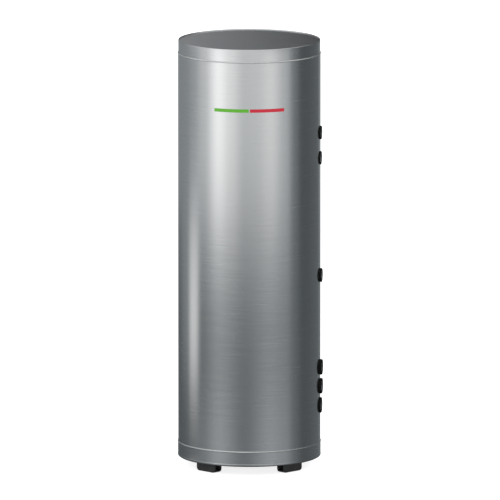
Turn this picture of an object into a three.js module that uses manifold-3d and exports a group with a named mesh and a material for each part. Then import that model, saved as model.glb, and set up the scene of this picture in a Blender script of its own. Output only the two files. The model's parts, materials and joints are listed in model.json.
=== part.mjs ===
// Floor-standing storage tank of a split solar water heater, in millimetres.
// Origin on the floor under the tank's axis, +Z up, front towards -Y, pipe ports towards +X.
import * as THREE from "three";
import { mergeVertices } from "three/addons/utils/BufferGeometryUtils.js";
import Module from "manifold-3d";

const wasm = await Module();
wasm.setup();

// Casing
const GAP = 0.3; // air left between pieces that touch
const PAST = 1; // how far a cutting shape runs past what it cuts, and joined shapes run into each other
const OVERALL_HEIGHT = 1570;
const CASING_RADIUS = 260;
const CASING_SHEET = 0.8;
const BEAD = { proud: 0.9, low: 3.5, high: 2 }; // the casing's rolled top edge, measured down from it
const LID_SKIRT = 45; // the part of the lid's skirt that shows
const LID_TUCK = 15; // the part that slips into the casing
const LID_RIM_HEIGHT = 3;
const LID_RIM_WIDTH = 4;
const LID_EDGE = 1.2; // the rim's rounded edge
const PAN_EDGE_Z = 35; // floor to the base pan's lower edge
const PAN_SKIRT = 57;
const PAN_SHEET = 1.1;
const PAN_HEM = { width: 12, fall: 4, curl: 2.4, rise: 4 }; // the lower edge, rolled inwards
const BASE_PLATE_Z = 41;
const BASE_PLATE_SHEET = 1.2;
const DRILL = { fromX: 190, toX: 290 }; // holes in the side run from inside the tank to the open air

// Water tank
const TANK_RADIUS = 214;
const TANK_WALL = 2;
const HEAD_WALL = 2.5;
const HEAD_DEPTH = 90;
const SHELL_BOTTOM_Z = 180;
const SHELL_TOP_Z = 1430;

// Feet and their fasteners
const FOOT_CIRCLE = 207; // radius that the feet stand on
const FOOT_WIDTH = 95;
const FOOT_DEPTH = 40;
const FOOT_CORNER = 8;
const FOOT_BEVEL = 5;
const FOOT_POCKET = { halfDepth: 14.5, deep: 24, low: 7, high: 34 }; // a hollow in each end
const FOOT_AZIMUTHS = { front_right: -45, back_right: 45, back_left: 135, front_left: -135 };
const BOLT_RADIUS = 4;
const BOLT_HOLE_RADIUS = 4.5;
const BOLT_HEAD_RADIUS = 7.5;
const BOLT_HEAD_Z = 7;
const BOLT_HEAD_HEIGHT = 5.3;
const BOLT_TIP_Z = 55;
const COUNTERBORE_RADIUS = 11;
const COUNTERBORE_DEPTH = 12.6;
const NUT_HEIGHT = 6.5;
const FASTENER_ROOM = 1; // air round a bolt's tip and its nut
const RING_FLANGE = { inner: 185, outer: 226, sheet: 3 };
const RING_TOP_Z = 134;

// Pipe ports, all on one vertical line. Radii of the trim ring, the socket and its bore.
const PORT_AZIMUTH = -7.5; // degrees from +X
const SOCKET_INNER_X = 205;
const SOCKET_RECESS = 1.2; // the socket's end face lies this far inside the ring's face
const RING_WALL = 2.2;
const RING_NECK_X = 252;
const RING_EDGE = 1.5;
const PORTS = {
  hot_outlet: { height: 1232, ring: 24.5, proud: 5.5, socket: 17.5, bore: 12 },
  relief_valve: { height: 1139, ring: 24.5, proud: 4.5, socket: 17.5, bore: 12 },
  solar_flow: { height: 706, ring: 25.5, proud: 7.5, socket: 17.5, bore: 12 },
  sensor: { height: 366, ring: 28.5, proud: 8.7, socket: 15, bore: 9.3 },
  solar_return: { height: 296, ring: 28.5, proud: 8.5, socket: 17.5, bore: 12 },
  cold_inlet: { height: 225, ring: 28.5, proud: 6, socket: 17.5, bore: 12 },
};

// Pipes inside the tank
const COIL_RADIUS = 150;
const COIL_TUBE_RADIUS = 11;
const COIL_TURNS = 9;
const COIL_BEND_ANGLE = Math.PI / 4; // the angle that each end bend takes up
const COIL_BEND = { rise: 2, reach: 45 }; // height that each end bend gains, and its handles' length
const WELD_OVERLAP = 3; // how far a pipe's end lies inside the tank's radius
const PIPE_RADIUS = 9;
const PIPE_WALL = 2;
const PIPE_BEND = 35;
const PIPE_X = 150;
const RISER_TOP_Z = 1480;
const DIFFUSER_END_Z = 140;
const POCKET = { tipX: 172, shoulderX: 212, endX: 232, stem: 6.5, thread: 8.9, bore: 4, end: 4 };

// Rear fittings
const REAR_AZIMUTH = 90;
const ANODE_Z = 1330;
const ANODE = { ring: 30, socket: 20, bore: 13.6, proud: 3, head: 19.6, headHeight: 7, thread: 13 };
const ANODE_ROD = { radius: 11, tipX: -160, rootX: 240 };
const PLUG = { azimuth: 112.5, height: 1150, head: 14, edge: 2, neck: 10, proud: 3 };
const EARTH = { azimuth: 67.5, height: 66, shank: 3, tipX: 244, hole: 3.4, head: 5.8, headHeight: 4.5 };
const PLATE = { azimuth: 33.75, height: 960, width: 100, tall: 70, sheet: 0.7 };
const BADGE = { height: 1346, halfWidth: 126, tall: 12, sheet: 0.6, split: 2 };

// Electric booster at the rear. Positions are outwards from the tank's axis (X), sideways (Y) and
// above the booster's centre (Z).
const BOOSTER_Z = 760;
const TUB = { halfWidth: 74, halfHeight: 104, wall: 2.5, backX: 217.5 };
const WINDOW = { halfWidth: 66, halfHeight: 96, corner: 10 };
const COVER = { halfWidth: 84, halfHeight: 114, wall: 2.5, faceX: 271.5, corner: 16 };
const HEATER = { z: -18, socket: 30, bore: 21.5, faceX: 226 };
const HEATER_HEAD = { radius: 33, endX: 240, thread: 21, threadX: 208 };
const GASKET = { inner: 21.8, outer: 29, sheet: 2 };
const ELEMENT = { radius: 4.2, half: 13, tipX: -110 };
const THERMOSTAT = { z: 52, halfWidth: 42, halfHeight: 24, corner: 4, backX: 222, faceX: 245 };
const DIAL = { radius: 19, window: 22, backX: 252, skirtX: 265, faceX: 271, shaft: 3 };
const DIAL_GRIP = { halfWidth: 3, rootX: 263, inset: 2 };
const BUTTON = { y: -33, radius: 4, hole: 4.8, backX: 247.8, faceX: 272.4 };
const POST = { z: 88, radius: 6, hole: 2.4, holeX: 246 };
const SCREW = { radius: 1.9, tipX: 251, head: 4.1, headHeight: 2.2, headX: 271.2, room: 0.5 };
const GLAND = { y: -58, x: 263.2, bore: 3.5, thread: 5.2, nut: 7.5, bottomZ: -124, topZ: -108 };
const GLAND_TAPER = { width: 1.5, height: 3 };

// Fineness of round surfaces, in steps to a full turn
const CASING_STEPS = 64;
const TANK_STEPS = 32;
const SMALL_STEPS = 16;
const HOLE_STEPS = 12;
const HEX_STEPS = 6;
const PIPE_STEPS = 12;
const ELEMENT_STEPS = 8;
const PLATE_STEPS = 8; // across a plate on the casing
const CORNER_STEPS = 4; // round a block's corner
const COIL_TUBE_STEPS = 6;
const COIL_STEPS = 12; // to one turn of the coil
const HEAD_STEPS = 4; // from a head's rim to its middle
const BEND_STEPS = 5; // along a pipe's bend

const LID_RADIUS = CASING_RADIUS - CASING_SHEET - GAP;
const PAN_RADIUS = CASING_RADIUS + GAP + PAN_SHEET;
const PAN_TOP_Z = PAN_EDGE_Z + PAN_SKIRT;
const WRAP_TOP_Z = OVERALL_HEIGHT - LID_SKIRT;
const WRAP_BOTTOM_Z = BASE_PLATE_Z + BASE_PLATE_SHEET + GAP;
const LID_TOP_Z = OVERALL_HEIGHT - LID_RIM_HEIGHT;
const CLEAR_RADIUS = CASING_RADIUS + GAP; // pieces that lie on the casing start here
const FOAM_RADIUS = LID_RADIUS - CASING_SHEET - GAP;

const SAME_POINT = 1e-4; // corners nearer than this are one

const radians = (degrees) => THREE.MathUtils.degToRad(degrees);

/** Positions and triangles only, with shared corners merged and empty triangles dropped. */
function cleaned(geometry) {
  const plain = new THREE.BufferGeometry();
  plain.setAttribute("position", geometry.getAttribute("position").clone());
  if (geometry.index) {
    plain.setIndex(geometry.index.clone());
  }
  const joined = mergeVertices(plain, SAME_POINT);
  const corners = joined.getIndex().array;
  const kept = [];
  for (let i = 0; i < corners.length; i += 3) {
    const [a, b, c] = [corners[i], corners[i + 1], corners[i + 2]];
    if (a !== b && b !== c && c !== a) {
      kept.push(a, b, c);
    }
  }
  joined.setIndex(kept);
  return joined;
}

function toManifold(geometry) {
  const closed = cleaned(geometry);
  const vertProperties = new Float32Array(closed.getAttribute("position").array);
  const triVerts = new Uint32Array(closed.getIndex().array);
  return new wasm.Manifold(new wasm.Mesh({ numProp: 3, vertProperties, triVerts }));
}

function toGeometry(manifold) {
  const mesh = manifold.getMesh();
  const geometry = new THREE.BufferGeometry();
  geometry.setAttribute("position", new THREE.BufferAttribute(mesh.vertProperties, 3));
  geometry.setIndex(new THREE.BufferAttribute(mesh.triVerts, 1));
  return geometry;
}

/** The first geometry with the others cut away. */
function cut(geometry, tools) {
  let result = toManifold(geometry);
  for (const tool of tools) {
    result = result.subtract(toManifold(tool));
  }
  return toGeometry(result);
}

function join(geometry, others) {
  let result = toManifold(geometry);
  for (const other of others) {
    result = result.add(toManifold(other));
  }
  return toGeometry(result);
}

function common(geometry, other) {
  return toGeometry(toManifold(geometry).intersect(toManifold(other)));
}

/** A turned solid about Z from an outline of [radius, z], drawn anticlockwise. */
function turned(outline, steps = SMALL_STEPS) {
  const onAxis = outline[0][0] === 0;
  const points = outline.map(([radius, z]) => new THREE.Vector2(radius, z));
  if (!onAxis) {
    points.push(points[0].clone());
  }
  const geometry = new THREE.LatheGeometry(points, steps);
  geometry.rotateX(Math.PI / 2);
  // a corner of every round lies on +X, so that rounds of the same fineness line up
  geometry.rotateZ(Math.PI / 2);
  return cleaned(geometry);
}

function disc(radius, low, high, steps = SMALL_STEPS) {
  return turned([[0, low], [radius, low], [radius, high], [0, high]], steps);
}

function tube(inner, outer, low, high, steps = SMALL_STEPS) {
  return turned([[inner, low], [outer, low], [outer, high], [inner, high]], steps);
}

/** Turns a solid's Z axis to point outwards, along X. */
function outwards(geometry) {
  return geometry.clone().rotateY(Math.PI / 2);
}

/** Moves a solid from a station's own frame to the object's frame. */
function placed(geometry, azimuth, height) {
  return geometry.clone().rotateZ(radians(azimuth)).translate(0, 0, height);
}

function block(x, y, z) {
  const [width, depth, height] = [x[1] - x[0], y[1] - y[0], z[1] - z[0]];
  const geometry = new THREE.BoxGeometry(width, depth, height);
  return geometry.translate(x[0] + width / 2, y[0] + depth / 2, z[0] + height / 2);
}

function roundedOutline(halfWidth, halfHeight, corner) {
  const shape = new THREE.Shape();
  const [w, h] = [halfWidth - corner, halfHeight - corner];
  shape.absarc(w, h, corner, 0, Math.PI / 2);
  shape.absarc(-w, h, corner, Math.PI / 2, Math.PI);
  shape.absarc(-w, -h, corner, Math.PI, 1.5 * Math.PI);
  shape.absarc(w, -h, corner, 1.5 * Math.PI, 2 * Math.PI);
  return shape;
}

/** A rounded block that faces outwards: wide along Y, tall along Z, thick along X. */
function roundedBlock(halfWidth, halfHeight, corner, x) {
  const shape = roundedOutline(halfWidth, halfHeight, corner);
  const geometry = new THREE.ExtrudeGeometry(shape, {
    depth: x[1] - x[0],
    bevelEnabled: false,
    curveSegments: CORNER_STEPS,
  });
  geometry.translate(0, 0, x[0]);
  const turnOutwards = new THREE.Matrix4().set(0, 0, 1, 0, 1, 0, 0, 0, 0, 1, 0, 0, 0, 0, 0, 1);
  return geometry.applyMatrix4(turnOutwards);
}

/** A thin plate that lies on the casing, between two angles about Z and two heights. */
function curvedPlate(fromAngle, toAngle, low, high, sheet) {
  const shape = new THREE.Shape();
  shape.absarc(0, 0, CLEAR_RADIUS + sheet, fromAngle, toAngle, false);
  shape.absarc(0, 0, CLEAR_RADIUS, toAngle, fromAngle, true);
  const geometry = new THREE.ExtrudeGeometry(shape, {
    depth: high - low,
    bevelEnabled: false,
    curveSegments: PLATE_STEPS,
  });
  return geometry.translate(0, 0, low);
}

/** A path that is stepped only at its own points, so that a straight stretch is one step. */
class Route extends THREE.Curve {
  constructor(points) {
    super();
    this.points = points;
  }

  getPoint(t) {
    const place = t * (this.points.length - 1);
    const index = Math.min(Math.floor(place), this.points.length - 2);
    return this.points[index].clone().lerp(this.points[index + 1], place - index);
  }

  getSpacedPoints() {
    return this.points;
  }

  getTangentAt(u) {
    const index = Math.round(u * (this.points.length - 1));
    const before = this.points[Math.max(index - 1, 0)];
    const after = this.points[Math.min(index + 1, this.points.length - 1)];
    return after.clone().sub(before).normalize();
  }
}

/** A pipe along a list of points, hollow where a wall is given. sides is a multiple of two. */
function pipe(points, radius, wall, sides) {
  const section = new THREE.Shape();
  section.absarc(0, 0, radius, 0, 2 * Math.PI);
  if (wall) {
    const hole = new THREE.Path();
    hole.absarc(0, 0, radius - wall, 0, 2 * Math.PI);
    section.holes.push(hole);
  }
  return new THREE.ExtrudeGeometry(section, {
    steps: points.length - 1,
    extrudePath: new Route(points),
    curveSegments: sides / 2,
  });
}

/** The casing's volume and the air gap around it, as seen from a station at an angle. */
function casingCore(azimuth) {
  const core = disc(CLEAR_RADIUS, -OVERALL_HEIGHT, OVERALL_HEIGHT, CASING_STEPS);
  return core.rotateZ(-radians(azimuth));
}

// Casing pieces

function basePan() {
  const hem = PAN_RADIUS - PAN_HEM.width;
  const inner = PAN_RADIUS - PAN_SHEET;
  const top = BASE_PLATE_Z + BASE_PLATE_SHEET;
  const pan = turned(
    [
      [0, BASE_PLATE_Z],
      [hem, BASE_PLATE_Z],
      [hem + PAN_HEM.fall, PAN_EDGE_Z],
      [PAN_RADIUS - PAN_HEM.curl, PAN_EDGE_Z],
      [PAN_RADIUS, PAN_EDGE_Z + PAN_HEM.rise],
      [PAN_RADIUS, PAN_TOP_Z],
      [inner, PAN_TOP_Z],
      [inner, top],
      [0, top],
    ],
    CASING_STEPS,
  );
  return cut(pan, [...boltHoles(), earthHole()]);
}

function casingWrap() {
  const inner = CASING_RADIUS - CASING_SHEET;
  const wrap = turned(
    [
      [inner, WRAP_BOTTOM_Z],
      [CASING_RADIUS, WRAP_BOTTOM_Z],
      [CASING_RADIUS, WRAP_TOP_Z - BEAD.low],
      [CASING_RADIUS + BEAD.proud, WRAP_TOP_Z - BEAD.high],
      [CASING_RADIUS, WRAP_TOP_Z],
      [inner, WRAP_TOP_Z],
    ],
    CASING_STEPS,
  );
  const holes = [earthHole()];
  for (const port of Object.values(PORTS)) {
    holes.push(wallHole(port.socket + RING_WALL + 2 * GAP, PORT_AZIMUTH, port.height));
  }
  holes.push(wallHole(ANODE.socket + RING_WALL + 2 * GAP, REAR_AZIMUTH, ANODE_Z));
  holes.push(wallHole(PLUG.neck + GAP, PLUG.azimuth, PLUG.height));
  const window = roundedBlock(WINDOW.halfWidth, WINDOW.halfHeight, WINDOW.corner, [DRILL.fromX, DRILL.toX]);
  holes.push(placed(window, REAR_AZIMUTH, BOOSTER_Z));
  return cut(wrap, holes);
}

/** A lid pressed from sheet: flat top inside a raised rolled rim, skirt tucked into the casing. */
function lid() {
  const inner = LID_RADIUS - CASING_SHEET;
  const under = LID_TOP_Z - CASING_SHEET;
  const rim = LID_RADIUS - LID_RIM_WIDTH;
  return turned(
    [
      [0, under],
      [inner, under],
      [inner, WRAP_TOP_Z - LID_TUCK],
      [LID_RADIUS, WRAP_TOP_Z - LID_TUCK],
      [LID_RADIUS, OVERALL_HEIGHT - LID_EDGE],
      [LID_RADIUS - LID_EDGE, OVERALL_HEIGHT],
      [LID_RADIUS - 2 * LID_EDGE, OVERALL_HEIGHT],
      [rim, LID_TOP_Z],
      [0, LID_TOP_Z],
    ],
    CASING_STEPS,
  );
}

/** Foam that fills the room between tank and casing, with a way out for every fitting. */
function foamJacket() {
  const jacket = disc(FOAM_RADIUS, WRAP_BOTTOM_Z, LID_TOP_Z - CASING_SHEET - GAP, TANK_STEPS);
  const hollows = [tankVolume(GAP), ...boltHoles(), earthHole()];
  for (const port of Object.values(PORTS)) {
    hollows.push(wallHole(port.socket + RING_WALL + 2 * GAP, PORT_AZIMUTH, port.height));
  }
  hollows.push(wallHole(ANODE.socket + RING_WALL + 2 * GAP, REAR_AZIMUTH, ANODE_Z));
  const plugRoom = disc(PLUG.neck + FASTENER_ROOM, RING_NECK_X - GAP, DRILL.toX, HOLE_STEPS);
  hollows.push(placed(outwards(plugRoom), PLUG.azimuth, PLUG.height));
  hollows.push(wallHole(HEATER.socket + GAP, REAR_AZIMUTH, BOOSTER_Z + HEATER.z));
  const room = block(
    [TUB.backX - GAP, DRILL.toX],
    [-TUB.halfWidth - GAP, TUB.halfWidth + GAP],
    [-TUB.halfHeight - GAP, TUB.halfHeight + GAP],
  );
  hollows.push(placed(room, REAR_AZIMUTH, BOOSTER_Z));
  hollows.push(supportVolume(GAP));
  for (const azimuth of Object.values(FOOT_AZIMUTHS)) {
    const [radius, top] = [BOLT_HEAD_RADIUS + FASTENER_ROOM, BOLT_TIP_Z + FASTENER_ROOM];
    hollows.push(disc(radius, WRAP_BOTTOM_Z, top, HOLE_STEPS).translate(...footCentre(azimuth)));
  }
  return cut(jacket, hollows);
}

// Water tank

/** Points along an ellipsoidal head's meridian, from the axis to the rim. */
function headArc(radius, depth, baseZ, side) {
  const points = [];
  for (let i = 0; i <= HEAD_STEPS; i += 1) {
    const angle = (i / HEAD_STEPS) * (Math.PI / 2);
    const r = i === 0 ? 0 : radius * Math.sin(angle);
    points.push([r, baseZ + side * depth * Math.cos(angle)]);
  }
  return points;
}

/** The tank's outer volume, grown by a margin. */
function tankVolume(margin) {
  const radius = TANK_RADIUS + margin;
  const bottom = headArc(radius, HEAD_DEPTH + margin, SHELL_BOTTOM_Z, -1);
  const top = headArc(radius, HEAD_DEPTH + margin, SHELL_TOP_Z, 1).reverse();
  return turned([...bottom, ...top], TANK_STEPS);
}

function tankShell() {
  const shell = tube(
    TANK_RADIUS - TANK_WALL,
    TANK_RADIUS,
    SHELL_BOTTOM_Z + GAP / 2,
    SHELL_TOP_Z - GAP / 2,
    TANK_STEPS,
  );
  const holes = Object.values(PORTS).map((port) =>
    wallHole(port.socket + GAP, PORT_AZIMUTH, port.height),
  );
  holes.push(wallHole(ANODE.socket + GAP, REAR_AZIMUTH, ANODE_Z));
  holes.push(wallHole(HEATER.socket + GAP, REAR_AZIMUTH, BOOSTER_Z + HEATER.z));
  return cut(shell, holes);
}

/** A dished head: side is 1 for the top head and -1 for the bottom head. */
function tankHead(side) {
  const base = (side > 0 ? SHELL_TOP_Z : SHELL_BOTTOM_Z) + (side * GAP) / 2;
  const outer = headArc(TANK_RADIUS, HEAD_DEPTH, base, side);
  const inner = headArc(TANK_RADIUS - HEAD_WALL, HEAD_DEPTH - HEAD_WALL, base, side);
  const outline = side > 0 ? [...inner, ...outer.reverse()] : [...outer, ...inner.reverse()];
  return turned(outline, TANK_STEPS);
}

/** The outline of the ring that carries the tank on the base plate, grown by a margin. */
function supportVolume(margin) {
  const low = WRAP_BOTTOM_Z - margin;
  const { inner, outer, sheet } = RING_FLANGE;
  return turned(
    [
      [inner - margin, low],
      [outer + margin, low],
      [outer + margin, WRAP_BOTTOM_Z + sheet + margin],
      [inner + sheet + margin, WRAP_BOTTOM_Z + sheet + margin],
      [inner + sheet + margin, RING_TOP_Z + margin],
      [inner - margin, RING_TOP_Z + margin],
    ],
    TANK_STEPS,
  );
}

function supportRing() {
  return cut(supportVolume(0), boltHoles());
}

// Holes shared by several pieces

/** A round hole through every wall from the tank's inside to the open air, no narrower than its radius. */
function wallHole(radius, azimuth, height) {
  const corners = radius / Math.cos(Math.PI / HOLE_STEPS);
  return placed(outwards(disc(corners, DRILL.fromX, DRILL.toX, HOLE_STEPS)), azimuth, height);
}

function earthHole() {
  const hole = disc(EARTH.hole, EARTH.tipX - FASTENER_ROOM, DRILL.toX, HOLE_STEPS);
  return placed(outwards(hole), EARTH.azimuth, EARTH.height);
}

function footCentre(azimuth) {
  const angle = radians(azimuth);
  return [FOOT_CIRCLE * Math.cos(angle), FOOT_CIRCLE * Math.sin(angle), 0];
}

function boltHoles() {
  const hole = disc(BOLT_HOLE_RADIUS, BASE_PLATE_Z - PAST, BOLT_TIP_Z + PAST, HOLE_STEPS);
  return Object.values(FOOT_AZIMUTHS).map((azimuth) => hole.clone().translate(...footCentre(azimuth)));
}

// Feet and their fasteners, each made about its own bolt's axis

/** A block with a hollow in each end and a recess for the bolt's head underneath. */
function foot() {
  const shape = roundedOutline(
    FOOT_DEPTH / 2 - FOOT_BEVEL,
    FOOT_WIDTH / 2 - FOOT_BEVEL,
    FOOT_CORNER - FOOT_BEVEL,
  );
  const height = BASE_PLATE_Z - GAP;
  const body = new THREE.ExtrudeGeometry(shape, {
    depth: height - 2 * FOOT_BEVEL,
    bevelEnabled: true,
    bevelThickness: FOOT_BEVEL,
    bevelSize: FOOT_BEVEL,
    bevelSegments: 1,
    curveSegments: CORNER_STEPS / 2,
  });
  body.translate(0, 0, FOOT_BEVEL);
  const { halfDepth, deep, low, high } = FOOT_POCKET;
  const [start, end] = [FOOT_WIDTH / 2 - deep, FOOT_WIDTH / 2 + PAST];
  return cut(body, [
    disc(BOLT_HOLE_RADIUS, -PAST, height + PAST),
    disc(COUNTERBORE_RADIUS, -PAST, COUNTERBORE_DEPTH),
    block([-halfDepth, halfDepth], [start, end], [low, high]),
    block([-halfDepth, halfDepth], [-end, -start], [low, high]),
  ]);
}

function footBolt() {
  const head = disc(BOLT_HEAD_RADIUS, BOLT_HEAD_Z, BOLT_HEAD_Z + BOLT_HEAD_HEIGHT, HEX_STEPS);
  const shank = disc(BOLT_RADIUS, BOLT_HEAD_Z + PAST, BOLT_TIP_Z);
  return join(head, [shank]);
}

function weldNut() {
  const low = WRAP_BOTTOM_Z + RING_FLANGE.sheet + GAP;
  const nut = disc(BOLT_HEAD_RADIUS, low, low + NUT_HEIGHT, HEX_STEPS);
  return cut(nut, [disc(BOLT_RADIUS + GAP, low - PAST, low + NUT_HEIGHT + PAST)]);
}

// Ports. X points outwards from the tank's axis and Z is up.

/** A trim ring: a flange on the casing and a neck through the casing's hole. */
function trimRing(ring, socket, proud, azimuth) {
  const inner = socket + 2 * GAP;
  const neckRadius = socket + RING_WALL + GAP;
  const face = CASING_RADIUS + proud;
  const flange = turned([
    [inner, RING_NECK_X],
    [ring, RING_NECK_X],
    [ring, face - RING_EDGE],
    [ring - RING_EDGE, face],
    [inner, face],
  ]);
  const neck = tube(inner, neckRadius, RING_NECK_X, face);
  return join(cut(outwards(flange), [casingCore(azimuth)]), [outwards(neck)]);
}

/** A threaded socket welded into the tank's wall. */
function portSocket(radius, bore, endX) {
  return outwards(tube(bore, radius, SOCKET_INNER_X, endX));
}

/** A coil's turns, climbing at an even rate. */
class HelixCurve extends THREE.Curve {
  constructor(startAngle, turn, startZ, endZ) {
    super();
    Object.assign(this, { startAngle, turn, startZ, endZ });
  }

  getPoint(t) {
    const angle = this.startAngle + t * this.turn;
    const z = this.startZ + t * (this.endZ - this.startZ);
    return new THREE.Vector3(COIL_RADIUS * Math.cos(angle), COIL_RADIUS * Math.sin(angle), z);
  }
}

/** The solar coil: a helix whose two ends bend outwards into their sockets. */
function solarCoil() {
  const [low, high] = [PORTS.solar_return.height, PORTS.solar_flow.height];
  const turn = COIL_TURNS * 2 * Math.PI - 2 * COIL_BEND_ANGLE;
  const { rise, reach } = COIL_BEND;
  const endX = TANK_RADIUS - WELD_OVERLAP;
  const bendX = SOCKET_INNER_X - PAST; // straight until it has left the socket
  const helix = new HelixCurve(COIL_BEND_ANGLE, turn, low + rise, high - rise);
  const points = helix.getPoints(Math.round((COIL_STEPS * turn) / (2 * Math.PI)));
  const [start, finish] = [points[0], points[points.length - 1]];
  const lowBend = new THREE.CubicBezierCurve3(
    new THREE.Vector3(bendX, 0, low),
    new THREE.Vector3(bendX - reach, 0, low),
    start.clone().addScaledVector(helix.getTangent(0), -reach),
    start,
  );
  const highBend = new THREE.CubicBezierCurve3(
    finish,
    finish.clone().addScaledVector(helix.getTangent(1), reach),
    new THREE.Vector3(bendX - reach, 0, high),
    new THREE.Vector3(bendX, 0, high),
  );
  points.unshift(new THREE.Vector3(endX, 0, low), ...lowBend.getPoints(BEND_STEPS).slice(0, -1));
  points.push(...highBend.getPoints(BEND_STEPS).slice(1), new THREE.Vector3(endX, 0, high));
  return pipe(points, COIL_TUBE_RADIUS, 0, COIL_TUBE_STEPS);
}

/** A pipe that leads inwards from a port and turns to an end height. */
function dipPipe(port, endZ) {
  const fall = endZ - port.height;
  const bend = new THREE.QuadraticBezierCurve3(
    new THREE.Vector3(PIPE_X + PIPE_BEND, 0, 0),
    new THREE.Vector3(PIPE_X, 0, 0),
    new THREE.Vector3(PIPE_X, 0, Math.sign(fall) * PIPE_BEND),
  );
  const start = new THREE.Vector3(TANK_RADIUS - WELD_OVERLAP, 0, 0);
  const end = new THREE.Vector3(PIPE_X, 0, fall);
  return pipe([start, ...bend.getPoints(BEND_STEPS), end], PIPE_RADIUS, PIPE_WALL, PIPE_STEPS);
}

/** A closed pocket that holds a temperature sensor, screwed into its socket. */
function sensorPocket() {
  const { tipX, shoulderX, endX, stem, thread, bore, end } = POCKET;
  return outwards(
    turned([
      [0, tipX],
      [stem, tipX],
      [stem, shoulderX],
      [thread, shoulderX],
      [thread, endX],
      [bore, endX],
      [bore, tipX + end],
      [0, tipX + end],
    ]),
  );
}

// Rear fittings

function anodePlug() {
  const seat = CASING_RADIUS + ANODE.proud - SOCKET_RECESS + GAP;
  const head = disc(ANODE.head, seat, seat + ANODE.headHeight, HEX_STEPS);
  const thread = disc(ANODE.thread, ANODE_ROD.rootX, seat + PAST);
  return outwards(join(head, [thread]));
}

function anodeRod() {
  return outwards(disc(ANODE_ROD.radius, ANODE_ROD.tipX, ANODE_ROD.rootX - GAP));
}

function foamPlug() {
  const face = CASING_RADIUS + PLUG.proud;
  const head = turned([
    [0, RING_NECK_X],
    [PLUG.head, RING_NECK_X],
    [PLUG.head, face - PLUG.edge / 2],
    [PLUG.head - PLUG.edge, face],
    [0, face],
  ]);
  const neck = disc(PLUG.neck, RING_NECK_X, face - PAST);
  return join(cut(outwards(head), [casingCore(PLUG.azimuth)]), [outwards(neck)]);
}

function earthStud() {
  const seat = PAN_RADIUS + GAP;
  const head = disc(EARTH.head, seat, seat + EARTH.headHeight, HEX_STEPS);
  return outwards(join(head, [disc(EARTH.shank, EARTH.tipX, seat + PAST, HOLE_STEPS)]));
}

function ratingPlate() {
  const half = PLATE.width / 2 / CASING_RADIUS;
  return curvedPlate(-half, half, -PLATE.tall / 2, PLATE.tall / 2, PLATE.sheet);
}

/** Half of a plain two-tone stripe on the front: side is -1 for the left half. */
function badgeStripe(side) {
  const inner = Math.asin(BADGE.split / CASING_RADIUS);
  const outer = Math.asin(BADGE.halfWidth / CASING_RADIUS);
  const [from, to] = side < 0 ? [-outer, -inner] : [inner, outer];
  return curvedPlate(from, to, -BADGE.tall / 2, BADGE.tall / 2, BADGE.sheet);
}

// Electric booster

/** A moulded tub set into the foam, with two posts for the cover's screws. */
function terminalPocket() {
  const { halfWidth, halfHeight, wall, backX } = TUB;
  const solid = block([backX, COVER.faceX], [-halfWidth, halfWidth], [-halfHeight, halfHeight]);
  const core = disc(LID_RADIUS, -halfHeight - PAST, halfHeight + PAST, CASING_STEPS);
  const inside = block(
    [backX + wall, DRILL.toX],
    [-halfWidth + wall, halfWidth - wall],
    [-halfHeight + wall, halfHeight - wall],
  );
  const heaterHole = outwards(disc(HEATER.socket + GAP, DRILL.fromX, DRILL.toX)).translate(0, 0, HEATER.z);
  const tub = cut(common(solid, core), [inside, heaterHole]);
  const endX = COVER.faceX - COVER.wall - GAP;
  const posts = [];
  const holes = [];
  for (const z of [-POST.z, POST.z]) {
    posts.push(outwards(disc(POST.radius, backX + PAST, endX)).translate(0, 0, z));
    holes.push(outwards(disc(POST.hole, POST.holeX, endX + PAST, HOLE_STEPS)).translate(0, 0, z));
  }
  return cut(join(tub, posts), holes);
}

/** A shallow cover whose rear edge follows the round casing. */
function boosterCover() {
  const { halfWidth, halfHeight, wall, faceX, corner } = COVER;
  const { backX } = THERMOSTAT;
  const hollow = [backX - PAST, faceX - wall];
  const shell = roundedBlock(halfWidth, halfHeight, corner, [backX, faceX]);
  const inside = roundedBlock(halfWidth - wall, halfHeight - wall, corner - wall, hollow);
  const glandHole = disc(GLAND.thread + GAP, -halfHeight - PAST, -halfHeight + wall + PAST, HOLE_STEPS);
  const openings = [
    casingCore(REAR_AZIMUTH),
    inside,
    outwards(disc(DIAL.window, backX, DRILL.toX)).translate(0, 0, THERMOSTAT.z),
    outwards(disc(BUTTON.hole, backX, DRILL.toX)).translate(0, BUTTON.y, THERMOSTAT.z),
    glandHole.translate(GLAND.x, GLAND.y, 0),
  ];
  const countersink = turned([
    [0, backX],
    [POST.hole, backX],
    [POST.hole, faceX - SCREW.headHeight],
    [SCREW.head + SCREW.room, faceX],
    [SCREW.head + SCREW.room, faceX + PAST],
    [0, faceX + PAST],
  ]);
  for (const z of [-POST.z, POST.z]) {
    openings.push(outwards(countersink).translate(0, 0, z));
  }
  return cut(shell, openings);
}

function coverScrew() {
  const { radius, tipX, head, headHeight, headX } = SCREW;
  return outwards(
    turned([
      [0, tipX],
      [radius, tipX],
      [radius, headX - headHeight],
      [head, headX],
      [0, headX],
    ]),
  );
}

function cableGland() {
  const { bore, thread, nut, bottomZ, topZ } = GLAND;
  const seat = -COVER.halfHeight - GAP;
  const gland = turned(
    [
      [bore, bottomZ],
      [nut - GLAND_TAPER.width, bottomZ],
      [nut, bottomZ + GLAND_TAPER.height],
      [nut, seat],
      [thread, seat],
      [thread, topZ],
      [bore, topZ],
    ],
    HOLE_STEPS,
  );
  return gland.translate(GLAND.x, GLAND.y, 0);
}

function heaterSocket() {
  return outwards(tube(HEATER.bore, HEATER.socket, SOCKET_INNER_X, HEATER.faceX));
}

function heaterGasket() {
  const low = HEATER.faceX + GAP;
  return outwards(tube(GASKET.inner, GASKET.outer, low, low + GASKET.sheet));
}

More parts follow.
